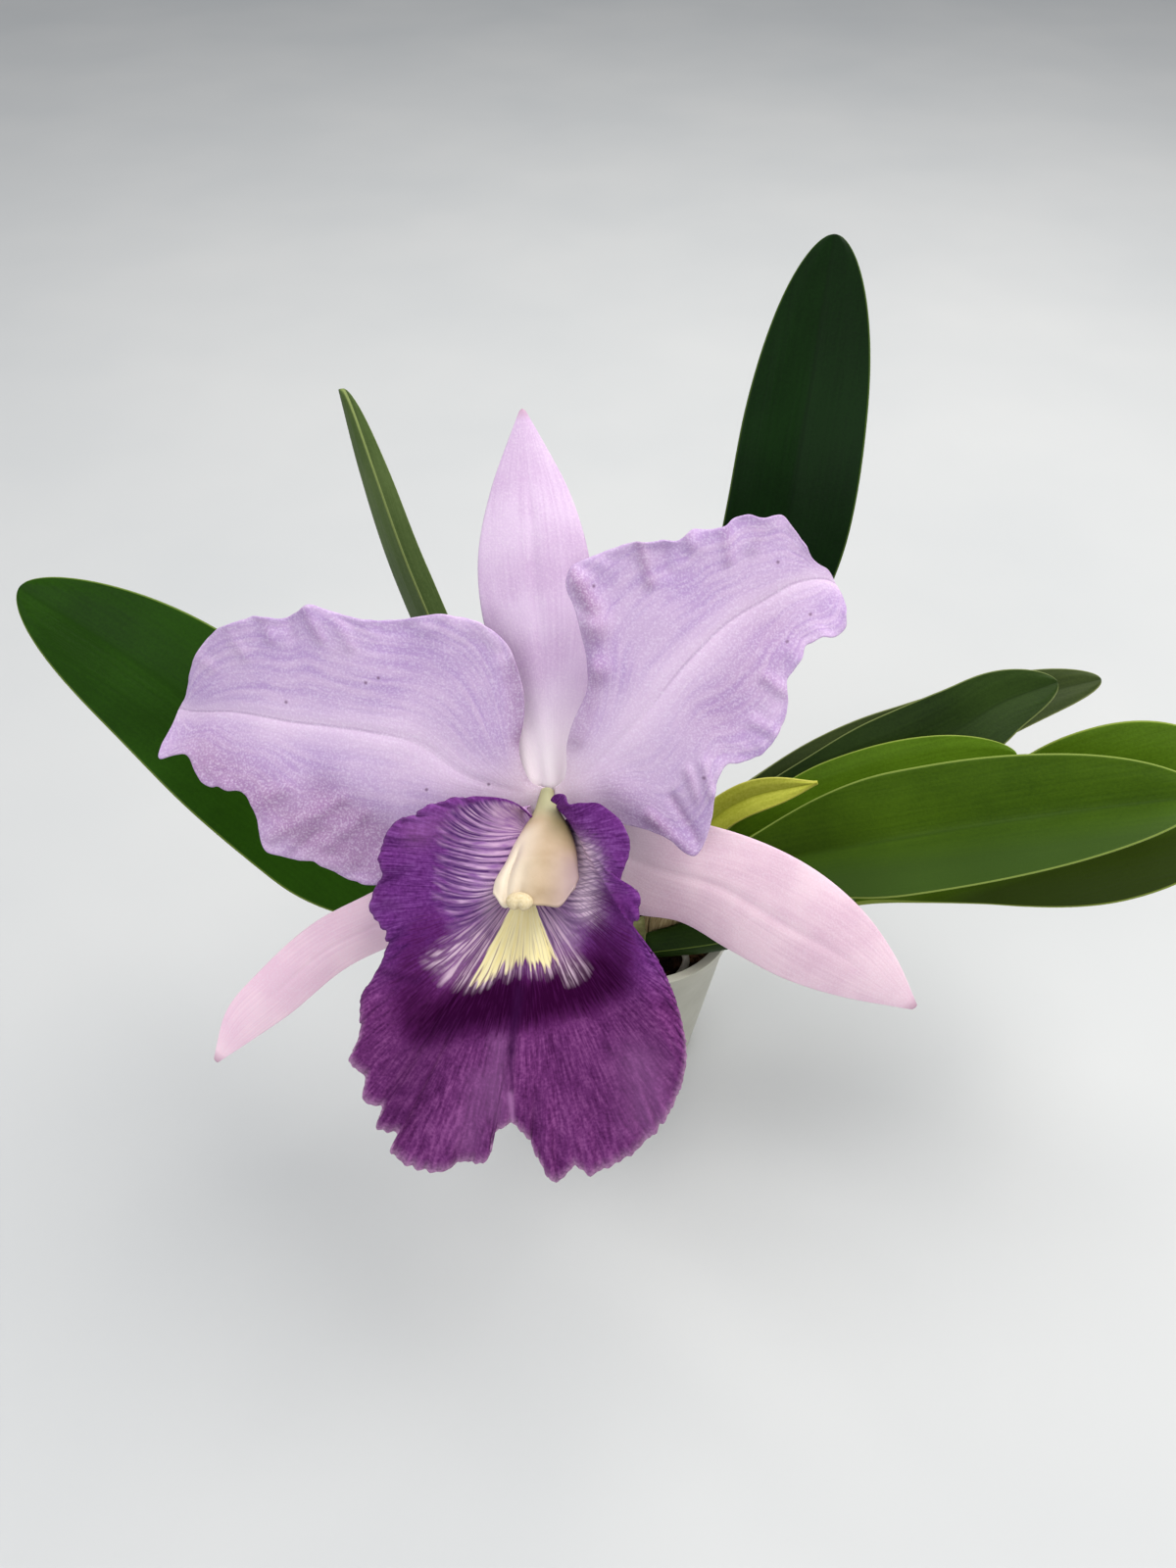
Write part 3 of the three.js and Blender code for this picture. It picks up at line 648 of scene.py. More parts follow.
bulbSettings = {
    'ribs': 9,
    'ribDepth': 0.045,
    'flatness': 0.85,
    'sheathGap': 0.3,
    'sheathThickness': 0.14,
    # degrees round the bulb: how much a sheath's edges overlap, and where they meet as its seam
    'overlap': 24,
    'bulbs': {
        'left': {
            'line': [(-12, -7, 57.5), (-23.6, -18, 69.8), (-33, -27, 82)],
            'radius': 4.6, 'sheath': 0.55, 'seam': 0,
        },
        'flowering': {
            'line': [(-7, 2, 56.2), (-10.3, 1.4, 70.6), (-13, 1, 85)],
            'radius': 5.6, 'sheath': 0.6, 'seam': 40,
        },
        'back': {
            'line': [(3, 9, 55.7), (3.5, 8.4, 70.3), (4, 8, 85)],
            'radius': 4.6, 'sheath': 0.5, 'seam': 100,
        },
        'middle': {
            'line': [(5, -7, 55.9), (6.7, -7.5, 67.4), (8, -8, 79)],
            'radius': 4.2, 'sheath': 0.6, 'seam': 200,
        },
        'inner': {
            'line': [(13, -3, 55.9), (15.2, -3, 66), (17, -3, 76)],
            'radius': 3.8, 'sheath': 0.45, 'seam': 60,
        },
        'right': {
            'line': [(12.5, 7, 56), (14.4, 8.1, 67.5), (16, 9, 79)],
            'radius': 4.4, 'sheath': 0.55, 'seam': 150,
        },
        # the long one is the youngest: its sheath is still green
        'long': {
            'line': [(0, -13, 57.7), (20, -14.5, 66), (54, -10, 75)],
            'radius': 4.3, 'sheath': 0.86, 'seam': 62, 'green': True,
        },
    },
}


# leaf skin: thick waxy cuticle over dark green, with a pale horny margin 0.5 mm wide, a sunken
# midrib, faint lines along the blade 0.8 mm apart and a fine pebble. A fifth colour, where given,
# is painted shade over the lower half of the blade; on the mature leaf it is a grey painted sheen and shade
def leafSkin(name, deep, light, margin, gloss, shaded=None):
    material, add = newMaterial(name)
    patch = grained(add, 26, 4)
    fibre = grained(add, 0.8, 3, 'lay', (0.03, 1, 1))
    pebble = grained(add, 0.6, 2)
    blend = add('Math', {'operation': 'MULTIPLY_ADD', 0: fibre, 1: 0.3, 2: patch})
    blend = add('Math', {'operation': 'MULTIPLY_ADD', 0: pebble, 1: 0.35, 2: blend})
    across = add('SeparateXYZ', {0: add('Attribute', {'attribute_name': 'lay'}, 'Vector')}, 'Y')
    off = add('Math', {'operation': 'ABSOLUTE', 0: across})
    edge = add('Attribute', {'attribute_name': 'edge'}, 'Fac')
    layers = [
        (add('MapRange', {0: blend, 1: 0.62, 2: 1.02}), light),
        (add('MapRange', {0: off, 1: 0.15 * mm, 2: 0.8 * mm, 3: 0.55, 4: 0}), deep),
        (add('MapRange', {0: edge, 1: 0.05 * mm, 2: 0.35 * mm, 3: 0.75, 4: 0}), margin),
    ]
    # painted shade over the blade's lower half, a grey painted sheen and shade on the mature leaf
    if shaded:
        layers.insert(2, (add('MapRange', {0: across, 1: -4 * mm, 2: 9 * mm, 4: 0.9}), shaded))
    relief = add('Math', {'operation': 'MULTIPLY_ADD', 0: pebble, 1: 0.6, 2: fibre})
    sheen = add('MapRange', {0: patch, 3: gloss - 0.05, 4: gloss + 0.1})
    return dressMaterial(material, layColours(add, deep, layers), (relief, 0.25, 0.25), {
        'Roughness': sheen, 'IOR': 1.42, 'Specular IOR Level': 0.1,
    })


# pseudobulb skin: waxy, mid green, paler and yellower between its ribs, with fine lines along it
def bulbSkin():
    material, add = newMaterial('pseudobulb_skin')
    fibre = grained(add, 0.6, 4, 'lay', (0.06, 1, 1))
    both = add('Math', {'operation': 'MULTIPLY_ADD', 0: fibre, 1: 0.6, 2: grained(add, 8, 3)})
    tone = add('ValToRGB', {'stops': [(0.55, '#37521f'), (0.8, '#567030'), (1, '#7d8a45')], 'Fac': both})
    return dressMaterial(material, tone, (fibre, 0.35, 0.3), {'Roughness': 0.45, 'IOR': 1.42})


# dry sheath: thin straw-coloured paper with fibres along it about 0.5 mm apart
def dryPaperySheath():
    material, add = newMaterial('dry_papery_sheath')
    fibre = grained(add, 0.5, 5, 'lay', (0.06, 1, 1), Roughness=0.65)
    tone = add('ValToRGB', {'stops': [(0.3, '#5e4c30'), (0.5, '#94815a'), (0.7, '#bfae86')], 'Fac': fibre})
    return dressMaterial(material, tone, (fibre, 0.5, 0.2), {'Roughness': 0.8, 'Specular IOR Level': 0.3})


def makeBulbs():
    skin, paper = bulbSkin(), dryPaperySheath()
    green = leafSkin('green_bulb_sheath', '#16260a', '#24380f', '#6f8436', 0.45)
    size = bulbSettings
    for seed, (name, bulb) in enumerate(size['bulbs'].items()):
        line = smoothLine(bulb['line'])
        length = lengthOf(line)
        widthAxis = upright if name == 'long' else acrossX

        def swell(share):
            middle = math.sin(math.pi * between(0.05, 0.9, share ** 0.85)) ** 1.2
            return between(0.5 * bulb['radius'], bulb['radius'], middle)

        def sizeAt(share, turn):
            wander = 2 * lumps((share * 9, turn, 0), 1, seed)
            rib = 1 + size['ribDepth'] * math.cos(size['ribs'] * turn + wander)
            radius = swell(share) * rib * roundEnds(share, 0.04, 0.07)
            return radius, size['flatness'] * radius

        paint = {'lay': lambda share, turn: Vector((share * length, turn * bulb['radius'], 0))}
        body = addRod(f'bulb_{name}', line, sizeAt, (56, 72), widthAxis, paint)
        finishPiece(body, 'pseudobulb', [skin], f'pseudobulb_{name}')

        # the sheath overlaps itself a little at its seam, and its top edge is torn
        def wrapAt(u, v):
            turn = math.radians(bulb['seam'] - size['overlap'] / 2 + (360 + size['overlap']) * v)
            torn = 1 + 0.2 * lumps((4 * v, seed, 0), 1) + 0.05 * lumps((26 * v, seed, 1), 1)
            share = between(0.05, bulb['sheath'] * torn, u)
            depth, side = axesAt(line, share, widthAxis)
            lift = size['sheathGap'] * (1 + 1.6 * v + u ** 3 + 0.4 * lumps((6 * v, 4 * u, seed), 1))
            radius = swell(share) * (1 + size['ribDepth']) + lift
            ring = side * radius * math.cos(turn) + depth * (0.87 * radius + 0.1) * math.sin(turn)
            return line(share) + ring

        paint = layOut(bulb['sheath'] * length, 2 * math.pi * bulb['radius'])
        wrap = addSheet(f'bulb_sheath_{name}', wrapAt, (28, 72), size['sheathThickness'], paint, rounding=0)
        finishPiece(wrap, 'sheath', [green, green] if bulb.get('green') else [paper, paper])


makeBulbs()
print('orchid: pseudobulbs ready')

# leaves

leafSettings = {
    'thickness': 1.4,
    'marginShare': 0.4,
    'steps': (60, 24),
    'stalkFold': 50,
    'stalkHalfWidth': 3,
    'keel': 0.07,
    'sunk': 2.6,
    'roundTip': 0.6,
    'waver': 0.5,
    'leaves': {
        'leaf_left_broad': {
            'line': [
                (-33.4, -27.4, 82.5), (-42, -29, 88), (-60, -23, 103), (-85, -14, 126), (-103, -7, 142),
                (-131, 2, 160),
            ],
            'halfWidth': 18.4, 'face': (0.26, -0.71, 0.65), 'fold': 10, 'widest': 0.4, 'age': 'old',
        },
        'leaf_left_upright': {
            'line': [
                (-15.3, 3.9, 85.8), (-28, 7, 95), (-45.5, 13, 121), (-56, 19, 150), (-61.5, 25, 173),
                (-65, 33, 188),
            ],
            'halfWidth': 9, 'face': (0.94, 0.02, 0.35), 'fold': 44, 'widest': 0.5, 'age': 'upright',
        },
        'leaf_back_tall': {
            'line': [(4, 8, 85.8), (8, 10, 96), (21, 19, 120), (31, 32, 151), (35, 45, 177), (40, 66, 207)],
            'halfWidth': 14.5, 'face': (-0.2, -0.9, 0.45), 'fold': 12, 'widest': 0.58, 'age': 'dark',
        },
        'leaf_right_front': {
            'line': [
                (8.1, -8, 79.8), (15, -11, 84), (33, -13, 92), (59, -18, 105), (91, -26, 122),
                (112, -32, 133),
            ],
            'halfWidth': 17, 'face': (0, -0.52, 0.85), 'fold': 34, 'widest': 0.5, 'age': 'mature',
        },
        'leaf_right_middle': {
            'line': [(17.1, -3, 76.8), (24, 0, 84), (52, 4.5, 97.5), (71, 5, 105), (89, 5, 109)],
            'halfWidth': 9.5, 'face': (-0.2, -0.55, 0.8), 'fold': 18, 'widest': 0.5, 'age': 'young',
        },
        'leaf_right_dark': {
            'line': [
                (17.3, 7.5, 79.8), (29, 10, 85), (50, 12, 93.5), (77, 16, 107), (88, 20, 112.5),
                (101, 22, 117.5),
            ],
            'halfWidth': 11.3, 'face': (-0.2, -0.55, 0.8), 'fold': 16, 'widest': 0.55, 'age': 'shaded',
        },
        'leaf_right_far': {
            'line': [
                (15.9, 11.3, 79.8), (28, 16, 83), (45, 21, 88), (75, 26, 97), (100, 31, 105),
                (117, 32, 110),
            ],
            'halfWidth': 9.5, 'face': (-0.2, -0.55, 0.8), 'fold': 14, 'widest': 0.5, 'age': 'grey',
        },
        'leaf_right_low': {
            'line': [
                (54.8, -9.9, 75.2), (65, -10.5, 79.6), (82, -12, 93), (106, -15, 111), (129, -18, 124),
            ],
            'halfWidth': 20, 'face': (-0.3, -0.65, 0.7), 'fold': 12, 'widest': 0.68, 'age': 'low',
        },
        'new_growth': {
            'line': [(8.6, 1.4, 55.8), (10, 1.2, 70), (15, 2, 86), (25, 3.4, 95.6), (42, 3, 102)],
            'halfWidth': 4.6, 'face': (-0.3, -0.7, 0.6), 'fold': 26, 'widest': 0.72, 'age': 'newest',
            'tip': 1.3, 'stalk': 2.4,
        },
    },
    # the greens of each age: face where deep and light, back, margin, and the lower half's painted shade, on
    # the mature leaf a greyer painted sheen and shade
    'greens': {
        'old': ('#173401', '#214404', '#46661f', '#6f8438'),
        'dark': ('#051a02', '#0c2706', '#33501f', '#4c6229'),
        'shaded': ('#1c2d0b', '#2b3f14', '#445a28', '#7d8850'),
        'grey': ('#2d391c', '#3d4a24', '#5d6c40', '#848c56'),
        # its lower half greyer and darker: painted sheen and shade
        'mature': ('#355008', '#4a680f', '#55742a', '#8b9c4c', '#344a1b'),
        'upright': ('#42542a', '#56683a', '#566a3c', '#7f8c52'),
        'young': ('#456209', '#577914', '#62802a', '#8f9e46'),
        # a leaf whose lower half gets a dark painted shadow from the leaf in front of it
        'low': ('#456209', '#577914', '#62802a', '#8f9e46', '#232e06'),
        'newest': ('#9a9f2a', '#c6c852', '#9ea038', '#bdb955'),
    },
}


def makeLeaves():
    size = leafSettings
    skins = {
        age: [
            leafSkin(f'leaf_face_{age}', deep, light, margin, 0.4, *shaded),
            leafSkin(f'leaf_back_{age}', deep, back, margin, 0.6),
        ]
        for age, (deep, light, back, margin, *shaded) in size['greens'].items()
    }
    for seed, (name, leaf) in enumerate(size['leaves'].items()):
        # the root is sunk a little into the top of its bulb
        root, second = [Vector(place) for place in leaf['line'][:2]]
        line = smoothLine([root - (second - root).normalized() * size['sunk'], *leaf['line'][1:]])
        length = lengthOf(line)
        facing = Vector(leaf['face']).normalized()
        widest = leaf['widest']
        tip = leaf.get('tip', size['roundTip'])
        stalk = leaf.get('stalk', size['stalkHalfWidth'])

        # the blade's rows lie closer together toward its tip
        def shareAt(u):
            return 1 - (1 - u) ** 1.5

        def halfWidthAt(share):
            if share < widest:
                return between(stalk, leaf['halfWidth'], ease(share, 0, widest))
            toTip = (share - widest) / (1 - widest)
            return between(0.4, leaf['halfWidth'], max(1 - toTip ** 2.4, 0) ** tip)

        def surfaceAt(u, v):
            share = shareAt(u)
            side, normal = axesAt(line, share, facing)
            width = halfWidthAt(share)
            across = 1 - 2 * v
            rise = math.hypot(across, size['keel']) - size['keel']
            fold = math.radians(between(size['stalkFold'], leaf['fold'], ease(share, 0, 0.35)))
            point = line(share) + side * width * across * math.cos(fold)
            point += normal * width * rise * math.sin(fold)
            waver = size['waver'] * width / 15 * lumps(point, 22, seed) * ease(share, 0.1, 0.4)
            return point + normal * waver

        def layAt(u, v, point):
            share = shareAt(u)
            return Vector((share * length, (1 - 2 * v) * halfWidthAt(share), 0))

        # thick along the midrib, thin at the margins
        def fullness(u, v):
            return between(1, size['marginShare'], ease(abs(1 - 2 * v), 0.55, 1) * ease(u, 0.02, 0.2))

        blade = addSheet(name + '_blade', surfaceAt, size['steps'], size['thickness'], {
            'lay': layAt,
            'edge': lambda u, v, point: halfWidthAt(shareAt(u)) * (1 - abs(1 - 2 * v)) * mm,
        }, fullness)
        finishPiece(blade, 'new_growth' if name == 'new_growth' else 'leaf', skins[leaf['age']], name)


makeLeaves()
print('orchid: leaves ready')

# flower stem and the green sheath at its foot

stemSettings = {
    'line': [
        (-20.8, -37.7, 138.9), (-20.8, -36, 137.9), (-20.8, -32.5, 135.9), (-20.6, -28, 132.5),
        (-18.6, -15, 121), (-14.6, -5, 106), (-12.3, 0.1, 83.2),
    ],
    'headRadius': 3.6,
    'ovaryRadius': 2.3,
    'radius': 1.6,
    'ovaryRibs': 6,
    'ribDepth': 0.06,
    # degrees that the sheath stands open, at its foot and at its top
    'openings': (100, 220),
    'sheathLength': 26.5,
    'sheathRadius': 2.7,
    'sheathThickness': 0.5,
}


# young stem: smooth and green, paler where it meets the flower, with lines along it 0.7 mm apart
def stemSkin():
    material, add = newMaterial('stem_skin')
    fibre = grained(add, 0.7, 4, 'lay', (0.1, 1, 1))
    green = add('ValToRGB', {'stops': [(0.3, '#6b8a3c'), (0.7, '#9ab060')], 'Fac': fibre})
    colour = layColours(add, green, [(add('Attribute', {'attribute_name': 'head'}, 'Fac'), '#e3e6c8')])
    return dressMaterial(material, colour, (fibre, 0.2, 0.2), {
        'Roughness': 0.5, 'Subsurface Weight': 0.1, 'Subsurface Radius': (0.001, 0.002, 0.0005),
    })


def makeStem():
    size = stemSettings
    line = smoothLine(size['line'])
    length = lengthOf(line)

    def sizeAt(share, turn):
        ovary = between(size['ovaryRadius'], size['radius'], ease(share, 0.05, 0.4))
        radius = between(ovary, size['headRadius'], math.exp(-share / 0.025))
        rib = size['ribDepth'] * math.cos(size['ovaryRibs'] * turn + 9 * share)
        radius *= 1 + rib * (1 - ease(share, 0.25, 0.45))
        radius *= roundEnds(share, 0.004, 0.01)
        return radius, radius

    stem = addRod('stem_and_ovary', line, sizeAt, (140, 36), acrossX, {
        'head': lambda share, turn: 1 - ease(share, 0.01, 0.14),
        'lay': lambda share, turn: Vector((share * length, turn * size['radius'], 0)),
    })
    finishPiece(stem, 'stem', [stemSkin()], 'flower_stem')

    foot = smoothLine([*size['line'][3:]][::-1])
    reach = size['sheathLength'] / lengthOf(foot)

    def wrapAt(u, v):
        across, front = axesAt(foot, u * reach, Vector((0, -1, 0)))
        opening = math.radians(between(*size['openings'], u * u))
        turn = between(opening / 2, 2 * math.pi - opening / 2, v)
        radius = size['sheathRadius'] * between(0.92, 1.15, math.sin(math.pi * 0.8 * u))
        return foot(u * reach) + front * radius * math.cos(turn) + across * radius * math.sin(turn)

    paint = layOut(size['sheathLength'], 2 * math.pi * size['sheathRadius'])
    wrap = addSheet('stem_sheath', wrapAt, (30, 40), size['sheathThickness'], paint)
    skin = leafSkin('pale_green_sheath', '#5d6d2a', '#87914a', '#a3935c', 0.6)
    finishPiece(wrap, 'sheath', [skin, skin], 'flower_sheath')


makeStem()
print('orchid: stem ready')

# the flower, drawn in its own frame: x to the right, y up its face, z toward the viewer

flowerSettings = {
    'centre': (-20.8, -39.7, 140.1),
    'lookUp': 30,
    'sepalLayer': -1.4,
    'petalLayer': 0,
    'lipLayer': 1.5,
    'veinSpread': 12,
}

flowerPlace = (
    Matrix.Translation(Vector(flowerSettings['centre']))
    @ Matrix.Rotation(math.radians(90 - flowerSettings['lookUp']), 4, 'X')
)
flowerBack = flowerPlace.inverted()


# A blade drawn flat on the flower's face between two margins and a midrib: along it from 0 to 1,
# across it from -1 at the first margin to 1 at the second.
def bladeOutline(blade):
    first, middle, second = [
        smoothLine([(x, y, 0) for x, y in blade[part]]) for part in ('first', 'midrib', 'second')
    ]
    length = lengthOf(middle)

    def placeAt(u, across):
        return middle(u).lerp(second(u) if across > 0 else first(u), abs(across))

    def layAt(u, v, point):
        across = 2 * v - 1
        away = (placeAt(u, across) - middle(u)).length
        return Vector((u * length, math.copysign(away, across), 0))

    # veins leave the midrib one after another and bend out to the margin
    def fanAt(u, v, point):
        return Vector((u * length, (2 * v - 1) / math.sqrt(max(u, 0.02)) * flowerSettings['veinSpread'], 0))

    return placeAt, {'lay': layAt, 'fan': fanAt, 'face': lambda u, v, point: placeAt(u, 2 * v - 1)}


# sepals and petals

sepalSettings = {
    'thickness': 0.6,
    'groove': 0.35,
    'waver': 0.5,
    'steps': (64, 28),
    'sepals': {
        'sepal_dorsal': {
            'first': [
                (4.4, 1.5), (6.2, 6), (7, 11), (7.9, 22), (8.6, 35), (7.4, 46), (4, 57), (-1.4, 67),
                (-4.6, 72.3),
            ],
            'midrib': [(0, 1.5), (-0.4, 10), (-1.4, 26), (-2.6, 40), (-3.4, 54), (-4.4, 66), (-5, 72.6)],
            'second': [
                (-4.2, 1.5), (-5.8, 6), (-6.6, 11), (-9.3, 22), (-13, 35), (-13.6, 46), (-11, 58),
                (-7.6, 67), (-5.4, 72.3),
            ],
            'recline': 9, 'cup': 2.2, 'ridges': 0.5, 'colour': '#d9c0dd', 'deep': '#cbadd0', 'shade': [],
        },
        'sepal_left': {
            'first': [
                (-2.6, -1.6), (-12, -8), (-24, -14), (-37, -21.2), (-49, -28), (-61, -39), (-68.6, -48),
                (-72.6, -60),
            ],
            'midrib': [
                (-1.7, -2.9), (-10, -12), (-21, -20), (-34, -26.6), (-46, -33), (-58, -43.8), (-66, -51.4),
                (-72.4, -60.6),
            ],
            'second': [
                (-0.8, -4.2), (-8, -17), (-19, -26.5), (-32, -32), (-43, -38), (-55, -48.5), (-63, -54.4),
                (-72, -60.8),
            ],
            # lighter colours than the right sepal's: painted light
            'recline': 7, 'cup': 2, 'ridges': 0, 'colour': '#fbdbe8', 'deep': '#eec8dc',
            # shade: from, to, half width and strength
            'shade': [((-33, -22), (-35, -33), 5, 0.4)],
        },
        'sepal_right': {
            'first': [
                (0.8, -4.2), (5, -14), (14, -24), (26, -27.2), (36, -33.6), (48, -40.5), (61, -45.2),
                (75.8, -48.4),
            ],
            'midrib': [
                (1.7, -2.9), (9, -9), (20, -14.6), (33, -19), (46, -27), (59, -35), (70, -43.6),
                (76.4, -48),
            ],
            'second': [
                (2.6, -1.6), (13, -3.6), (27, -5.4), (40, -9.4), (52, -15.6), (63, -25), (71, -36),
                (76.6, -47.6),
            ],
            'recline': 7, 'cup': 2, 'ridges': 0, 'colour': '#e8cad8', 'deep': '#dbb8cb',
            'shade': [((15, -24), (30, -31), 1.5, 0.4)],
        },
    },
}

petalSettings = {
    'thickness': 0.5,
    'cup': 1.2,
    'groove': 0.3,
    'waver': 0.45,
    'teeth': 0.35,
    'steps': (110, 64),
    'petals': {
        'petal_left': {
            'first': [
                (-0.6, 2.2), (-3.6, 3.2), (-5.6, 7.6), (-6, 11.5), (-4.9, 15.8), (-4.8, 21.3),
                (-6.1, 27.2), (-7.9, 31), (-10.6, 33.7), (-12.9, 35.1), (-16.1, 35.8), (-19.3, 36.4),
                (-22.5, 36.1), (-26.3, 35.4), (-31, 35.1), (-36.5, 35.9), (-40.7, 37.1), (-43.5, 38.1),
                (-45.6, 36.8), (-48.6, 35.2), (-53.9, 35.6), (-58.5, 34.2), (-61.7, 33), (-65.7, 29.4),
                (-68.8, 24.3), (-70.7, 19.1), (-72.3, 16.9),
            ],
            'midrib': [
                (-0.6, 0.3), (-3.6, 1), (-16.4, 5.7), (-25.3, 12.3), (-33.1, 14.2), (-40.9, 15.2),
                (-48.7, 15.8), (-54.4, 16.6), (-60.6, 16.9), (-69.4, 16.2), (-72.7, 16.6),
            ],
            'second': [
                (-0.6, -1.6), (-3.6, -2.4), (-12, -8.2), (-23, -13.4), (-32.5, -15.6), (-34.3, -15.8),
                (-38.7, -14.6), (-42.1, -12.8), (-45, -11.1), (-49.6, -10.8), (-52.1, -9.9), (-54.1, -9.5),
                (-55.6, -6.4), (-56, -3), (-57, -0.1), (-58.8, 2.4), (-61.8, 2.4), (-63.6, 3.3),
                (-64.8, 2.7), (-66.7, 3.6), (-68.6, 6.3), (-70, 8.7), (-74.1, 7.8), (-76.2, 7.1),
                (-76.2, 8.6), (-73.7, 13.7), (-72.7, 16.3),
            ],
            'arch': 6.5, 'fall': 9, 'bands': (6, 8),
            # folds: from, to, half width, height, and strength of the painted shade along them
            'folds': [
                ((-54.2, -6.7), (-39.4, 1.2), 1.1, 0.6, 0.25),
                ((-42.4, -7.7), (-35.3, -1.8), 1, 0.5, 0.25), ((-42.8, 2.3), (-30.5, -6.9), 4, -0.8, 0.5),
                ((-44.6, 37), (-41.8, 31.6), 0.9, 0.8, 0.3),
                ((-52.7, 35.2), (-51.5, 31.3), 0.8, 0.6, 0.25),
                ((-38.1, 34.4), (-36.2, 30.1), 0.8, 0.5, 0.2),
                ((-66.8, 27.1), (-64.1, 25.4), 1.1, 0.5, 0.2), ((-48, 36), (-47, 32), 1, -0.5, 0.1),
                ((-6.4, 26.7), (-5.2, 11.9), 2.2, -0.8, 0.5), ((-5.2, 11.9), (-3.7, 4.3), 1.6, -0.5, 0.5),
                ((-50, -10), (-44, -5), 1, -0.6, 0.15), ((-57, 0), (-50, 3), 1.3, 0.5, 0.2),
                ((-30, -14), (-22, -6), 3, 0.7, 0.3), ((-60, 33), (-57, 28), 1, 0.5, 0.15),
                ((-66, 7), (-34, -11), 6, 0, 0.7), ((-46, -8), (-38, -10), 4, 0, 0.2),
            ],
            'specks': [(-49.3, 19.5), (-33.8, 23.6), (-31.4, 24.5), (-23.4, 3), (-11.8, 3.6)],
        },
        'petal_right': {
            'first': [
                (0.6, -1.6), (3.6, -2.2), (9, -3.6), (15.5, -4.6), (18.9, -5.4), (22.7, -6.8), (25.1, -9),
                (27.5, -10.2), (29.4, -7.8), (30.7, -3.3), (31.2, 2.2), (31.8, 5.6), (33.2, 8), (36, 8.4),
                (39.7, 9.8), (42, 12.6), (43.9, 16.3), (44.5, 19.5), (44.2, 23.6), (45.4, 25.4),
                (47, 28.1), (47.5, 29.9), (49, 30.6), (50.6, 31.6), (53.4, 31.6), (55.1, 33.1),
                (55.3, 35.7), (54.8, 38.1), (53.3, 40.7),
            ],
            'midrib': [
                (0.6, 0.3), (3.6, 2.4), (10.7, 9.4), (18.7, 18.6), (23.9, 25.4), (27.6, 29.6),
                (32.7, 34.4), (39.2, 38.3), (45.1, 41.4), (50.6, 42), (53.3, 41),
            ],
            'second': [
                (0.6, 2.2), (2.6, 4), (3.2, 6.5), (3.1, 10.6), (4.5, 16.1), (6.9, 21.9), (7.1, 26.7),
                (6, 32.8), (4.6, 37.8), (3.2, 41.4), (4, 44.6), (7.3, 46.3), (10.5, 47.5), (13.6, 48.6),
                (15.8, 49.4), (17.2, 49), (20.3, 49.4), (23.4, 49.4), (25.6, 51.2), (28.8, 51.4),
                (31.5, 51.6), (33.3, 53.1), (36, 53.8), (38.7, 53.3), (42.4, 53.6), (44.3, 51.5),
                (46.9, 48.3), (48.5, 45.6), (51.5, 43.7), (53.1, 41.3),
            ],
            'arch': 5.5, 'fall': 4, 'bands': (8, 6),
            'folds': [
                ((4.6, 43.5), (8, 37.5), 1.2, 1, 0.6), ((5.4, 41), (8, 34), 2.6, 1.6, 0.25),
                ((8, 34), (8.6, 26), 2.4, 1.6, 0.25), ((8.6, 26), (5, 13), 2, 1.3, 0.3),
                ((16.2, 49.4), (18.4, 41.7), 0.9, 0.9, 0.5), ((24.9, 50.7), (25.7, 48.2), 0.8, 0.6, 0.3),
                ((31.8, 51.2), (32.5, 45.8), 0.9, 0.6, 0.3), ((19, -2.6), (27.5, -10.3), 1.3, 1, 0.5),
                ((23.3, 1.3), (28.5, -7.3), 0.9, -0.9, 0.45), ((26, 6.5), (27.8, 1.3), 0.9, 0.6, 0.35),
                ((39.9, 24.2), (44, 21.2), 0.9, 0.6, 0.3), ((29, 8), (30.5, 2), 1, 0.7, 0.2),
                ((38, 16), (42, 14), 1, 0.5, 0.15), ((12, 3), (20, -4), 3.5, 0.6, 0.3),
                ((21, 48), (21.6, 44), 1.2, -0.6, 0.1), ((32, 18), (40, 32), 7, 0, 0.3),
                ((38, 53), (37, 48), 1.2, 0.5, 0.15),
            ],
            'specks': [(41.8, 45.3), (48.3, 35.7), (44, 30.8), (8.1, 41.3), (29.1, 5.6)],
        },
    },
}


# sepal tissue: thin and matt, with pale flecks painted as faint glints off its cells, pinker than the
# petals and greenish at its foot, with lines along it 0.9 mm apart
def sepalTissue(name, face, deep, foot):
    material, add = newMaterial(name)
    vein = grained(add, 0.9, 3, 'fan', (0.04, 1, 1))
    both = add('Math', {'operation': 'MULTIPLY_ADD', 0: vein, 1: 0.5, 2: grained(add, 12, 2)})
    body = add('ValToRGB', {'stops': [(0.62, deep), (0.88, face)], 'Fac': both})
    grain = grained(add, 0.4, 1)
    # pale flecks: painted glints off the cells
    layers = [(add('MapRange', {0: grain, 1: 0.45, 2: 0.75, 4: 0.26}), '#f3e6f1')]
    for title, colour in (('shade', '#a98aa3'), ('foot', foot), ('tip', '#b48aa0')):
        layers.append((add('Attribute', {'attribute_name': title}, 'Fac'), colour))
    relief = together(add, 'ADD', vein, grain)
    return dressMaterial(material, layColours(add, body, layers), (relief, 0.2, 0.2), {
        'Roughness': 0.6, 'Specular IOR Level': 0.3,
        'Subsurface Weight': 0.12, 'Subsurface Radius': (0.0012, 0.0008, 0.0012),
    })
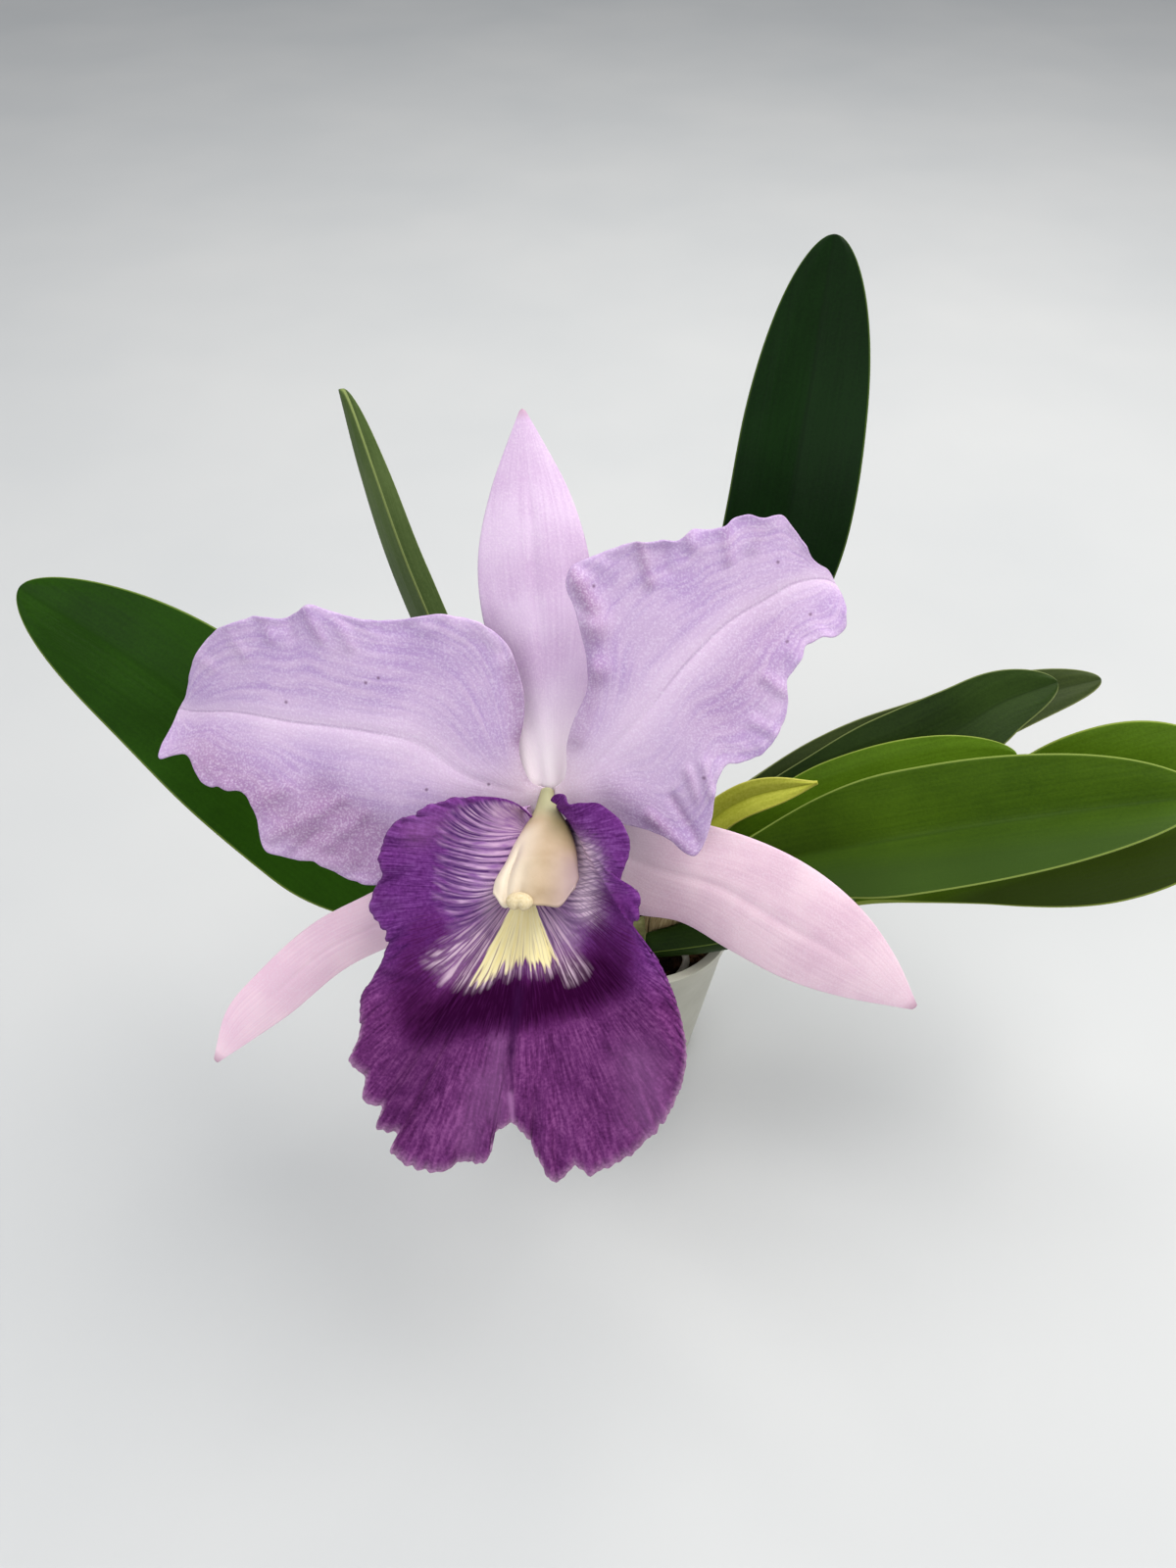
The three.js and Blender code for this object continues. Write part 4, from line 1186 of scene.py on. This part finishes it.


# petal tissue: as thin as paper, lilac with a pale band along its midrib, fine veins about 1 mm
# apart that fan out to the margin and a few brown specks; pale flecks are painted glints off its
# cells, drawn 0.4 mm apart because real ones are too fine to show
def petalTissue(name, face, deep, pale, specks):
    material, add = newMaterial(name)
    lay, spot = [add('Attribute', {'attribute_name': title}, 'Vector') for title in ('lay', 'face')]
    vein = grained(add, 0.9, 4, 'fan', (0.06, 1, 1), Distortion=0.3)
    softer = together(add, 'MULTIPLY', grained(add, 11, 3), 0.6)
    both = add('Math', {'operation': 'MULTIPLY_ADD', 0: vein, 1: 0.8, 2: softer})
    body = add('ValToRGB', {'stops': [(0.55, deep), (0.82, face)], 'Fac': both})
    off = add('Math', {'operation': 'ABSOLUTE', 0: add('SeparateXYZ', {0: lay}, 'Y')})
    near = add('MapRange', {0: off, 1: 0.1 * mm, 2: 0.45 * mm, 3: 0.4, 4: 0})
    partway = add('MapRange', {0: add('SeparateXYZ', {0: lay}, 'X'), 1: 22 * mm, 2: 36 * mm})
    grain = grained(add, 0.4, 1)
    # the pale band, the pinkish foot, and painted shade along the folds
    layers = [
        (add('Attribute', {'attribute_name': title}, 'Fac'), colour)
        for title, colour in (('centre', pale), ('foot', '#dcc6d2'), ('crease', '#956f98'))
    ]
    layers.append((together(add, 'MULTIPLY', near, partway), '#94789f'))
    # pale flecks: painted glints off the cells
    layers.append((add('MapRange', {0: grain, 1: 0.45, 2: 0.72, 4: 0.3}), '#f0e6f6'))
    for x, y in specks:
        away = add('VectorMath', {'operation': 'DISTANCE', 0: spot, 1: (x * mm, y * mm, 0)}, 'Value')
        layers.append((add('MapRange', {0: away, 1: 0.15 * mm, 2: 0.45 * mm, 3: 0.75, 4: 0}), '#6f5070'))
    relief = add('Math', {'operation': 'MULTIPLY_ADD', 0: grain, 1: 0.4, 2: vein})
    return dressMaterial(material, layColours(add, body, layers), (relief, 0.25, 0.3), {
        'Roughness': 0.6, 'Specular IOR Level': 0.3,
        'Subsurface Weight': 0.12, 'Subsurface Radius': (0.001, 0.0008, 0.0012),
    })


def makeSepals():
    size = sepalSettings
    for seed, (name, sepal) in enumerate(size['sepals'].items()):
        placeAt, paint = bladeOutline(sepal)

        def surfaceAt(u, v):
            across = 2 * v - 1
            point = placeAt(u, across)
            point.z = flowerSettings['sepalLayer'] - sepal['recline'] * u * u
            point.z -= sepal['cup'] * across * across * math.sin(math.pi * u)
            point.z -= size['groove'] * math.exp(-(across / 0.08) ** 2) * math.sin(math.pi * min(1.2 * u, 1))
            point.z += size['waver'] * lumps(point, 14, seed) * ease(u, 0.1, 0.4)
            point.z += sepal['ridges'] * math.cos(7 * across) * (1 - ease(u, 0.05, 0.3))
            return flowerPlace @ point

        paint['shade'] = lambda u, v, point: softLines(placeAt(u, 2 * v - 1), sepal['shade'], 1)
        # on the face a pale foot reaching a third of the way up, lightened further as painted light over the
        # shade near the flower's centre
        paint['foot'] = lambda u, v, point: 0.9 * (1 - ease(u, 0.05, 0.34))
        paint['tip'] = lambda u, v, point: 0.8 * ease(u, 0.965, 1)
        piece = addSheet(name + '_blade', surfaceAt, size['steps'], size['thickness'], paint)
        finishPiece(piece, 'sepal', [
            sepalTissue(name + '_tissue', sepal['colour'], sepal['deep'], '#f3e8ec'),
            sepalTissue(name + '_back_tissue', '#d9c3d6', sepal['deep'], '#cbd3a6'),
        ], name)


def makePetals():
    size = petalSettings
    for seed, (name, petal) in enumerate(size['petals'].items()):
        placeAt, paint = bladeOutline(petal)

        def surfaceAt(u, v):
            across = 2 * v - 1
            point = placeAt(u, across)
            away = paint['lay'](u, v, None).y
            point.z = flowerSettings['petalLayer'] + petal['arch'] * math.sin(math.pi * min(1, 0.9 * u))
            point.z -= petal['fall'] * u ** 3 + size['cup'] * (1 - across * across) * math.sin(math.pi * u)
            point.z -= size['groove'] * math.exp(-(away / 0.8) ** 2) * math.sin(math.pi * u)
            for start, end, halfWidth, height, shade in petal['folds']:
                point.z += height * math.exp(-(offSegment(point, start, end)[1] / halfWidth) ** 2)
            edge = abs(across) ** 5 * ease(u, 0.1, 0.3) * (1 - ease(u, 0.94, 1))
            point.z += edge * (lumps(point, 4.5, seed) + 0.5 * lumps(point, 1.8, seed))
            point.z += size['waver'] * lumps(point, 11, seed)
            # fine teeth on the margin
            outward = (point - placeAt(u, 0.9 * across)).to_2d()
            if outward.length > 0.01:
                tooth = size['teeth'] * ease(abs(across), 0.92, 1) * ease(u, 0.1, 0.3)
                point += outward.normalized().to_3d() * tooth * lumps((u * 70, across, 5), 1, seed)
            return flowerPlace @ point

        def centreAt(u, v, point):
            away = paint['lay'](u, v, None).y
            reach = petal['bands'][1 if away > 0 else 0] * between(1, 0.4, ease(u, 0.15, 0.9))
            return 0.95 * math.exp(-(away / reach) ** 2) * between(0.9, 0.75, u)

        paint['centre'] = centreAt
        # painted shade along the folds, and over the lower part of the left petal
        paint['crease'] = lambda u, v, point: softLines(placeAt(u, 2 * v - 1), petal['folds'], 0.8)
        paint['foot'] = lambda u, v, point: 0.8 * (1 - ease(u, 0, 0.2))
        piece = addSheet(name + '_blade', surfaceAt, size['steps'], size['thickness'], paint)
        finishPiece(piece, 'petal', [
            petalTissue(name + '_tissue', '#c7acd0', '#b395c5', '#dcc4de', petal['specks']),
            petalTissue(name + '_back_tissue', '#cbb6d6', '#b9a2c8', '#d8c8de', []),
        ], name)


makeSepals()
makePetals()
print('orchid: sepals and petals ready')

# lip

lipSettings = {
    'thickness': 0.42,
    'steps': (46, 620),
    'throat': {'centre': (0.1, -0.4), 'radius': (4.1, 4.9), 'turns': (185, 267, 380)},
    # from the column's neck over the left side lobe, the front lobe and the right side lobe back to
    # the neck, with the height over the flower's face
    'margin': [
        (-3.4, -2.4, 5), (-5.9, 0.7, 7), (-8.8, 2.7, 9.5), (-13.9, 3.8, 12), (-18.4, 3.7, 13.5),
        (-20.5, 2.9, 14), (-22.6, 2.8, 14.5), (-23.7, 1.3, 14.8), (-26.7, 0.5, 15.2), (-28.8, -1.3, 15.6),
        (-30.1, -3.9, 16), (-30.7, -6.4, 16.3), (-30.2, -9.7, 16.7), (-31.7, -12.4, 17),
        (-32.7, -16.2, 17.5), (-30.3, -19, 18.3), (-29.4, -22.1, 18.5), (-32.3, -28.7, 19.2),
        (-34.9, -32.9, 19.5), (-35.2, -39.5, 19.4), (-37.4, -46.1, 19.4), (-34.9, -49.3, 18.6),
        (-35.4, -53.9, 18.5), (-32.2, -55.8, 18.2), (-33.4, -61.2, 17), (-29.6, -62.3, 17),
        (-31.2, -66.9, 16.2), (-28.5, -70, 16), (-23.1, -70.7, 16.8), (-17.8, -68.8, 17),
        (-12.4, -67, 18.5), (-10.3, -59.6, 20.5), (-7.2, -57.9, 21), (-4.5, -61, 20.1),
        (-2.3, -66.7, 19.3), (1, -72.6, 17.5), (4.7, -69.1, 17.4), (7.3, -71.3, 16.8), (15.1, -67.1, 16.9),
        (22.2, -58.4, 17.8), (25.5, -46.6, 19.5), (24.7, -37.9, 20.2), (20.8, -26.5, 20.5),
        (17.5, -21.5, 20), (15.3, -18.9, 20), (16.5, -15.6, 19), (16.3, -12.5, 18.9), (13.1, -11.8, 18),
        (14.8, -4.9, 16.7), (14.6, -2.6, 16), (12.9, 0.1, 14), (10.8, 1.4, 12), (9, 2.1, 10.5),
        (7, 1.8, 9.5), (5.7, 1.6, 8.7), (4.6, 1.2, 8), (3.5, 1.2, 7.5), (2.8, 2.6, 6.5), (1.7, 2.7, 6),
        (0.7, 2.2, 5.5), (0.2, 1.3, 5),
    ],
    'notch': (-7.2, -57.9, 21),
    'frill': 1.4,
    'teeth': 0.8,
    'hump': 3.2,
    # the line under the column that the veins leave, and how much they bend at either side
    'mouth': [(-3.6, -5.5), (-4.1, -12.5)],
    'veinRadius': 12,
    'veinBends': (0.011, 0.03),
    # the yellow fan: degrees from straight down and the reach there
    'fan': [(-40, 23), (-28, 21.6), (-14, 17), (0, 14.8), (18, 16.4), (28, 18)],
    # the dark horseshoe: place, half width and strength
    'horseshoe': [
        (-22, -20, 3.5, 0.3), (-25, -29, 4, 0.4), (-22, -37, 4.8, 0.85), (-15, -35.4, 4.4, 1),
        (-7, -33.2, 4.2, 1), (0, -32.6, 4.2, 1), (6, -31.4, 4.4, 1), (9.8, -28.8, 4.2, 0.9),
        (11.5, -25, 4, 0.55), (11.5, -17, 3.5, 0.25),
    ],
    # painted shade in folds of the velvet: from, to, half width and strength
    'folds': [
        ((-5.4, -31), (-6.8, -42), 0.9, 0.6), ((-6.8, -42), (-7.1, -50), 0.6, 0.55),
        ((-31.5, -27), (-24, -28.6), 0.7, 0.7), ((-19, -40), (-24, -50), 4, 0.25),
        ((-27, -44), (-29, -58), 4, 0.3), ((1, -42), (7, -56), 3, 0.15), ((15, -36), (20, -44), 3, 0.2),
        ((-32, -13), (-27, -16), 1.2, 0.3), ((12.8, -12), (9, -14), 1, 0.3),
        ((-3.8, -60), (-2, -52), 1.5, 0.25), ((8, -43), (13, -52), 6, 0.2),
    ],
    # painted highlights: lighter streaks where folds and bulges catch the light: from, to, half width and
    # strength
    'highlights': [
        ((-7.3, -50.5), (-7.1, -57.6), 0.5, 0.75), ((-9.2, -41), (-10, -56), 2.2, 0.25),
        ((-13, -50), (-16, -64), 3, 0.2), ((-16, 0), (-24, -2), 3, 0.2), ((17, -46), (19, -58), 5, 0.3),
    ],
    # painted light: whitish patches on the walls round the column, lifting the shade that falls there
    'wallLights': [
        ((6.5, -7), (7, -17), 2.6, 0.85), ((1, -19), (4, -23), 2, 0.3), ((-10, -14), (-11, -19), 2, 0.3),
    ],
}


# lip tissue: velvety and dark violet. The shares painted on it set the pale throat, the yellow fan
# with a whitish web beside it, the dark horseshoe round it and the light rim, which is a painted
# highlight; further shares paint highlights on folds, light on the walls round the column and shade
# in folds. Dark veins leave the throat 1.3 mm apart and fork to 0.8 mm; streaks of 0.5 mm run from
# it to the front.
def lipTissue(name, fade):
    material, add = newMaterial(name)
    shares = {
        title: add('Attribute', {'attribute_name': title}, 'Fac')
        for title in ('fan', 'streak', 'dark', 'pale', 'lobe', 'rim', 'fold', 'glow', 'bare', 'lift')
    }
    patterns = {
        title: grained(add, size, 2, painted, (1, stretch, 1)) for title, painted, size, stretch in (
            ('fork', 'veins', 0.9, 0.25), ('ray', 'rays', 1.6, 0.14),
            ('fine', 'rays', 0.45, 0.1), ('broad', 'rays', 6, 0.3),
        )
    }
    veins, rays = [add('Attribute', {'attribute_name': title}, 'Vector') for title in ('veins', 'rays')]
    threads = []
    for source, size, wander, thin in ((veins, 1.3, 3, 0.38), (veins, 0.8, 3, 0.4), (rays, 1.7, 6, 0.55)):
        lines = add('Mapping', {'Scale': (1, 0.3, 1), 'Vector': source})
        wave = add('TexWave', {
            'Scale': banded(size), 'Distortion': wander, 'Detail': 2, 'Detail Scale': 1.2, 'Vector': lines,
        })
        threads.append(add('MapRange', {0: wave, 1: thin}))
    away = add('SeparateXYZ', {0: veins}, 'Y')
    forked = add('MapRange', {0: away, 1: 6 * mm, 2: 11 * mm, 3: 0.1, 4: 0.9})
    both = together(add, 'MAXIMUM', together(add, 'MULTIPLY', threads[1], forked), threads[0])
    broken = add('MapRange', {0: patterns['fork'], 1: 0.35, 2: 0.55, 3: 0.5})
    thread = together(add, 'MULTIPLY', both, broken)
    speckle = grained(add, 0.6, 3)
    tones = together(add, 'MULTIPLY', speckle, 0.3)
    for title, part in (('fine', 0.45), ('broad', 0.25)):
        tones = add('Math', {'operation': 'MULTIPLY_ADD', 0: patterns[title], 1: part, 2: tones})
    violet, mauve, paleTone, yellow = [
        add('ValToRGB', {'stops': stops, 'Fac': source}) for source, stops in (
            (tones, [(0.36, '#451852'), (0.5, '#622c72'), (0.64, '#7c478e')]),
            (tones, [(0.36, '#4c1b4e'), (0.5, '#6c316d'), (0.64, '#8f4f8c')]),
            (patterns['fork'], [(0.3, '#9269a2'), (0.7, '#cbaac9')]),
            (patterns['ray'], [(0.3, '#ecdc98'), (0.65, '#f4e9bc')]),
        )
    ]
    # the shares with their borders roughened by the streaks
    rough = {}
    for title, pattern, power in (
        ('fan', 'ray', 2.2), ('streak', 'ray', 1), ('dark', 'fine', 1.5), ('pale', 'fork', 0.7),
    ):
        shift = add('Math', {'operation': 'MULTIPLY_ADD', 0: patterns[pattern], 1: power, 2: -power / 2})
        within = add('MapRange', {0: shares[title], 2: 0.2})
        rough[title] = add('Math', {'operation': 'MULTIPLY_ADD', 0: shift, 1: within, 2: shares[title]})
    webbed = together(add, 'MAXIMUM', thread, threads[2])
    here = add('MapRange', {0: patterns['ray'], 1: 0.46, 2: 0.56})
    fanShare = add('MapRange', {0: rough['fan'], 1: 0.35, 2: 0.6})
    duskShare = add('MapRange', {0: rough['dark'], 2: 0.5, 4: 0.75})
    darkShare = add('MapRange', {0: rough['dark'], 1: 0.2, 4: 0.95})
    paleShare = add('MapRange', {0: rough['pale'], 1: 0.1, 2: 0.8, 4: 0.95})
    veinPower = add('MapRange', {0: shares['pale'], 1: 0.02, 2: 0.3})
    gaps = add('MapRange', {0: webbed, 1: 0.1, 2: 0.8, 3: 1, 4: 0.15})
    softGaps = add('MapRange', {0: webbed, 1: 0.1, 2: 0.9, 3: 1, 4: 0.45})
    streaks = add('MapRange', {0: rough['streak'], 1: 0.1, 2: 0.7, 4: 0.9})
    lined = add('MapRange', {0: away, 1: 7 * mm, 2: 15 * mm, 4: 0.85})
    veinShare, wallLightShare, streakShare, linedShare, rimHighlightShare = [
        together(add, 'MULTIPLY', *parts) for parts in (
            (veinPower, shares['bare'], thread), (shares['lift'], softGaps), (streaks, gaps),
            (lined, here, threads[2], fanShare), (shares['rim'], speckle),
        )
    ]
    # besides the lip's own colours, these layers paint highlights on folds and along the rim, light on the
    # walls round the column and shade in folds
    colour = layColours(add, violet, [
        (shares['lobe'], mauve), (shares['glow'], '#a972a9'), (paleShare, paleTone), (veinShare, '#45205c'),
        (wallLightShare, '#f6dcf0'), (duskShare, '#501552'), (darkShare, '#2a0028'), (shares['fold'], '#3a1040'),
        (streakShare, '#d0b4c8'), (fanShare, yellow), (linedShare, '#6d3a62'), (rimHighlightShare, '#d0a6c8'),
        (fade, '#8d6fa8'),
    ])
    relief = add('Math', {'operation': 'MULTIPLY_ADD', 0: veinShare, 1: -0.4, 2: tones})
    return dressMaterial(material, colour, (relief, 0.5, 0.35), {
        'Roughness': 0.7, 'Specular IOR Level': 0.02,
    })


def makeLip():
    size = lipSettings
    throat = size['throat']
    margin = smoothLine(size['margin'])
    notch = min(range(1001), key=lambda step: (margin(step / 1000) - Vector(size['notch'])).length) / 1000
    mouthTop, mouthEnd = [Vector(place) for place in size['mouth']]
    down = (mouthEnd - mouthTop).normalized()
    right = Vector((-down.y, down.x))
    quarter = size['veinRadius'] * math.pi / 2
    softMargin = {}

    # the margin with its notches evened out, which the inner part of the lip follows
    def evenMargin(v):
        if v not in softMargin:
            nearby = [margin(v + shift) for shift in (-0.04, -0.027, -0.013, 0, 0.013, 0.027, 0.04)]
            softMargin[v] = sum(nearby, Vector()) / len(nearby)
        return softMargin[v]

    def surfaceAt(u, v):
        start, middle, end = throat['turns']
        if v < notch:
            turn = math.radians(between(start, middle, v / notch))
        else:
            turn = math.radians(between(middle, end, (v - notch) / (1 - notch)))
        inner = Vector((
            throat['centre'][0] + throat['radius'][0] * math.cos(turn),
            throat['centre'][1] + throat['radius'][1] * math.sin(turn),
            flowerSettings['lipLayer'],
        ))
        outer = evenMargin(v).lerp(margin(v), ease(u, 0.35, 0.95))
        inner = inner.lerp(Vector((0.8, -1.2, inner.z)), ease(v, 0.78, 0.95))
        flat = (evenMargin(v) - inner).to_2d().length
        rise = 1 - (1 - u) ** (1.4 + flat / 16)
        point = Vector((between(inner.x, outer.x, u), between(inner.y, outer.y, u), 0))
        point.z = between(inner.z, outer.z, rise)
        point.z += size['hump'] * ease(flat, 30, 50) * math.sin(math.pi * u) * u
        edge = ease(u, 0.72, 1) * ease(flat, 6, 18)
        point.z += size['frill'] * edge * (lumps((60 * v, 0, 2 * u), 1) + 0.6 * lumps((130 * v, 3, 3 * u), 1))
        point.z += 0.9 * ease(u, 0.3, 0.7) * ease(flat, 25, 45) * lumps((26 * v, 7, u), 1)
        outward = (outer - inner).normalized()
        point += outward * size['teeth'] * ease(u, 0.9, 1) * ease(flat, 8, 20) * lumps((200 * v, 5, 0), 1)
        keel = math.exp(-((v - notch) / 0.010) ** 2) - 0.6 * math.exp(-((v - notch + 0.02) / 0.025) ** 2)
        point.z -= 0.9 * keel * ease(u, 0.3, 0.5)
        return flowerPlace @ point

    # where a place lies among the veins: round the throat, and away from it
    def amongVeins(place):
        away = place - mouthEnd
        forward, sideways = away.dot(down), away.dot(right)
        side = math.copysign(1, sideways)
        if forward > 0:
            reach = away.length
            turned = math.atan2(abs(sideways), forward)
            around = size['veinRadius'] * turned
            bending = ease(turned, 0.6, 1.4)
        else:
            above = min(-forward, (mouthEnd - mouthTop).length)
            beyond = -forward - above
            reach = math.hypot(sideways, beyond)
            around = quarter + above + size['veinRadius'] * math.atan2(beyond, abs(sideways))
            bending = 1
        bend = size['veinBends'][0 if side < 0 else 1] * bending
        return side * (around - bend * reach * reach), reach, side * around

    def raysAt(place, u):
        away, around = amongVeins(place)[1:]
        spread = 2.5 * min(abs(around), quarter) + 1.5 * max(abs(around) - quarter, 0)
        return Vector((math.copysign(spread, around), away, 0))

    # how far a place is turned from straight down, how far away it lies, and the fan's reach there
    def fromDown(place):
        away = place - mouthEnd
        angle = math.degrees(math.atan2(away.x, -away.y))
        return angle, away.length, valuesAlong(size['fan'], angle)[0]

    def fanAt(place, u):
        angle, away, reach = fromDown(place)
        side = ease(angle, -35, -28) * (1 - ease(angle, 18, 25))
        return side * (1 - ease(away, reach - 4.5, reach + 1.5))

    def streakAt(place, u):
        angle, away, reach = fromDown(place)
        left = ease(angle, -66, -50) * (1 - ease(angle, -34, -28))
        left *= ease(away, 9, 14) * (1 - ease(away, 19, 25))
        end = ease(angle, -36, -28) * (1 - ease(angle, 24, 34)) * ease(away, 12, 16)
        end *= 1 - ease(away, reach - 2, reach + 2.5)
        rightSide = ease(angle, 18, 23) * (1 - ease(angle, 30, 44)) * (1 - ease(away, 18, 22))
        leftSide = ease(angle, -46, -38) * (1 - ease(angle, -32, -28)) * (1 - ease(away, 16, 20))
        return max(0.85 * left, 0.8 * end, 0.5 * rightSide, 0.45 * leftSide)

    def darkAt(place, u):
        most = 0
        for one, other in zip(size['horseshoe'], size['horseshoe'][1:]):
            share, off = offSegment(place, one[:2], other[:2])
            halfWidth, strength = between(one[2], other[2], share), between(one[3], other[3], share)
            most = max(most, strength * (1 - ease(off, 0.4 * halfWidth, 1.8 * halfWidth)))
        return most

    def paleAt(place, u):
        away, around = amongVeins(place)[1:]
        onRight = ease(around, -6, 8)
        reach = between(20, 15.5, onRight)
        lower = between(0.35, 1, ease(abs(around), 10, 18))
        top = between(1, ease(-place.y, 3, 8), onRight)
        return lower * top * (1 - ease(away, between(5, 8, onRight), reach)) * (1 - ease(u, 0.7, 0.97))

    # each of these is asked for a place on the flower's face
    onFace = {
        'veins': lambda place, u: Vector((*amongVeins(place)[:2], 0)),
        'rays': raysAt, 'fan': fanAt, 'streak': streakAt, 'dark': darkAt, 'pale': paleAt,
        # painted highlights
        'glow': lambda place, u: softLines(place, size['highlights'], 0.85),
        # painted light on the walls round the column
        'lift': lambda place, u: softLines(place, size['wallLights'], 0.85),
        # painted shade in folds
        'fold': lambda place, u: softLines(place, size['folds'], 0.85),
        'bare': lambda place, u: ease((place - Vector((-6, 0))).length, 2.5, 7),
        'lobe': lambda place, u: ease(-place.y, 20, 36),
        # a painted highlight along the margin, strongest at the front
        'rim': lambda place, u: ease(u, 0.97, 0.998) * between(0.1, 1.1, ease(-place.y, 30, 45)),
    }
    paint = {
        title: lambda u, v, point, valueAt=valueAt: valueAt((flowerBack @ point).to_2d(), u)
        for title, valueAt in onFace.items()
    }
    lip = addSheet('lip_blade', surfaceAt, size['steps'], size['thickness'], paint, rounding=0)
    finishPiece(lip, 'lip', [lipTissue('lip_tissue', 0), lipTissue('lip_back_tissue', 0.55)], 'lip')


makeLip()
print('orchid: lip ready')

# column

columnSettings = {
    'thickness': 0.7,
    'steps': (48, 64),
    # the hood's edges at either side, and how far it bulges between them
    'left': [
        (-1.5, 2, 0.5), (-2, 0.4, 1.2), (-2.9, -2, 3), (-4.7, -4.6, 5.6), (-6.6, -7.2, 9),
        (-7.9, -9.4, 12.5), (-9.4, -10.9, 16.5), (-9.8, -13, 19.5),
    ],
    'right': [
        (0.2, 2, 0.5), (0.4, 0.4, 1.2), (1.6, -2, 3), (3.5, -4.7, 5.6), (4.6, -7.2, 9), (5, -9.4, 12.5),
        (4.9, -11.5, 16.5), (4.4, -13.2, 19.5),
    ],
    'upward': (0, 0.8, 0.6),
    'bulge': [(0, 0.8), (0.2, 1.6), (0.4, 3.2), (0.7, 3.8), (0.88, 2.8), (1, 1.6)],
    'turn': 112,
    # how far the rim draws back toward the neck: place across, half width, depth
    'scallops': [(1, 0.22, 2.6), (0.75, 0.3, -1), (-0.36, 0.12, 1), (-1, 0.14, 0.8), (-0.75, 0.2, -0.6)],
    'core': [(0, 0.7, 0.7), (0.2, 1.5, 1.2), (0.6, 3.9, 1.7), (0.9, 4.3, 1.6), (1, 3.6, 1.2)],
    'capCentre': (-5.1, -13.2, 21),
    'capRadii': (2.5, 1.5, 1.8),
}


# column tissue: firm, waxy and cream, brightest on its left as painted light, with a green cast at the
# neck, a brownish painted shadow on its right shoulder, a blush below that and faint clouds 4 mm across
def columnTissue():
    material, add = newMaterial('column_tissue')
    body = add('ValToRGB', {'stops': [(0.3, '#a99274'), (0.7, '#b8a186')], 'Fac': grained(add, 4, 3)})
    # the pale layer is painted light on the left side, the brownish one a painted shadow on the right
    # shoulder
    layers = {'bright': '#d6c8b4', 'blush': '#a38b90', 'shade': '#7d6f4c', 'neck': '#a2a27c'}
    colour = layColours(add, body, [
        (add('Attribute', {'attribute_name': title}, 'Fac'), above) for title, above in layers.items()
    ])
    return dressMaterial(material, colour, (grained(add, 0.6, 2), 0.15, 0.2), {
        'Roughness': 0.5, 'Specular IOR Level': 0.3,
        'Subsurface Weight': 0.1, 'Subsurface Radius': (0.002, 0.0015, 0.001),
    })


# anther cap: softly granular and pale yellow, with grains 0.5 mm apart
def antherTissue():
    material, add = newMaterial('anther_tissue')
    grain = grained(add, 0.5, 3)
    tone = add('ValToRGB', {'stops': [(0.3, '#c6b48a'), (0.7, '#dacba9')], 'Fac': grain})
    return dressMaterial(material, tone, (grain, 0.2, 0.2), {'Roughness': 0.55, 'Specular IOR Level': 0.3})


def makeColumn():
    size = columnSettings
    edges = [smoothLine(size[side]) for side in ('left', 'right')]
    upward = Vector(size['upward'])

    def hoodAt(u, v):
        turn = math.radians(between(-size['turn'], size['turn'], v))
        left, right = edges[0](u), edges[1](u)
        bulge = valuesAlong(size['bulge'], u)[0]
        across = math.sin(turn)
        point = left.lerp(right, 0.5) + (right - left) / 2 * across + upward * bulge * math.cos(turn)
        point += Vector((0, -1, 0.15)) * 2.2 * max(math.cos(turn), 0) * ease(u, 0.72, 1)
        # a groove sets the thin left wing apart
        point -= upward * 0.9 * math.exp(-((across + 0.7) / 0.1) ** 2) * ease(u, 0.5, 0.75)
        back = 0
        for spot, halfWidth, depth in size['scallops']:
            back += depth * math.exp(-((across - spot) / halfWidth) ** 2)
        point -= directionAt(edges[0], u) * back * ease(u, 0.7, 1)
        return flowerPlace @ point

    hood = addSheet('column_hood', hoodAt, size['steps'], size['thickness'], {
        'neck': lambda u, v, point: 0.85 * (1 - ease(u, 0.12, 0.42)),
        # painted shadow on the right shoulder, painted light on the left
        'shade': lambda u, v, point: 0.95 * ease(v, 0.42, 0.64) * math.exp(-((u - 0.36) / 0.17) ** 2),
        'blush': lambda u, v, point: 0.85 * ease(v, 0.5, 0.8) * ease(u, 0.5, 0.8),
        'bright': lambda u, v, point: (1 - ease(v, 0.3, 0.55)) * ease(u, 0.3, 0.5),
    })

    def coreAt(share, turn):
        halfWidth, halfDepth = valuesAlong(size['core'], share)
        ends = roundEnds(share, 0.02, 0.1)
        return halfWidth * ends, halfDepth * ends

    reach = [step / 12 * 0.84 for step in range(13)]
    middle = smoothLine([flowerPlace @ edges[0](share).lerp(edges[1](share), 0.5) for share in reach])
    core = addRod('column_core', middle, coreAt, (36, 32), acrossX, {
        'neck': lambda share, turn: 0.7 * (1 - ease(share, 0.15, 0.5)),
        # a little painted shade all over the core
        'shade': lambda share, turn: 0.3,
        'blush': lambda share, turn: 0.3,
        'bright': lambda share, turn: 0,
    })
    tissue = columnTissue()
    finishPiece(joinPieces([hood, core], 'column_body'), 'column', [tissue, tissue], 'column')

    # the anther cap: a small cushion of two lobes with a cleft between them
    add = bpy.ops.mesh.primitive_uv_sphere_add
    cap = addPrimitive('anther_cushion', add, segments=48, ring_count=32, radius=1)
    turned = upright.rotation_difference(directionAt(edges[0], 1)).to_matrix()
    turned = (flowerPlace.to_3x3() @ turned).to_4x4()
    for vertex in cap.data.vertices:
        cleft = 0.35 * math.exp(-(vertex.co.x / 0.2) ** 2) * max(vertex.co.z, 0)
        shape = vertex.co * Vector(size['capRadii']) * (1 - cleft)
        vertex.co = (flowerPlace @ Vector(size['capCentre']) + turned @ shape) * mm
    bpy.ops.object.shade_smooth()
    finishPiece(cap, 'column', [antherTissue()], 'anther_cap')


makeColumn()
print('orchid: column ready')
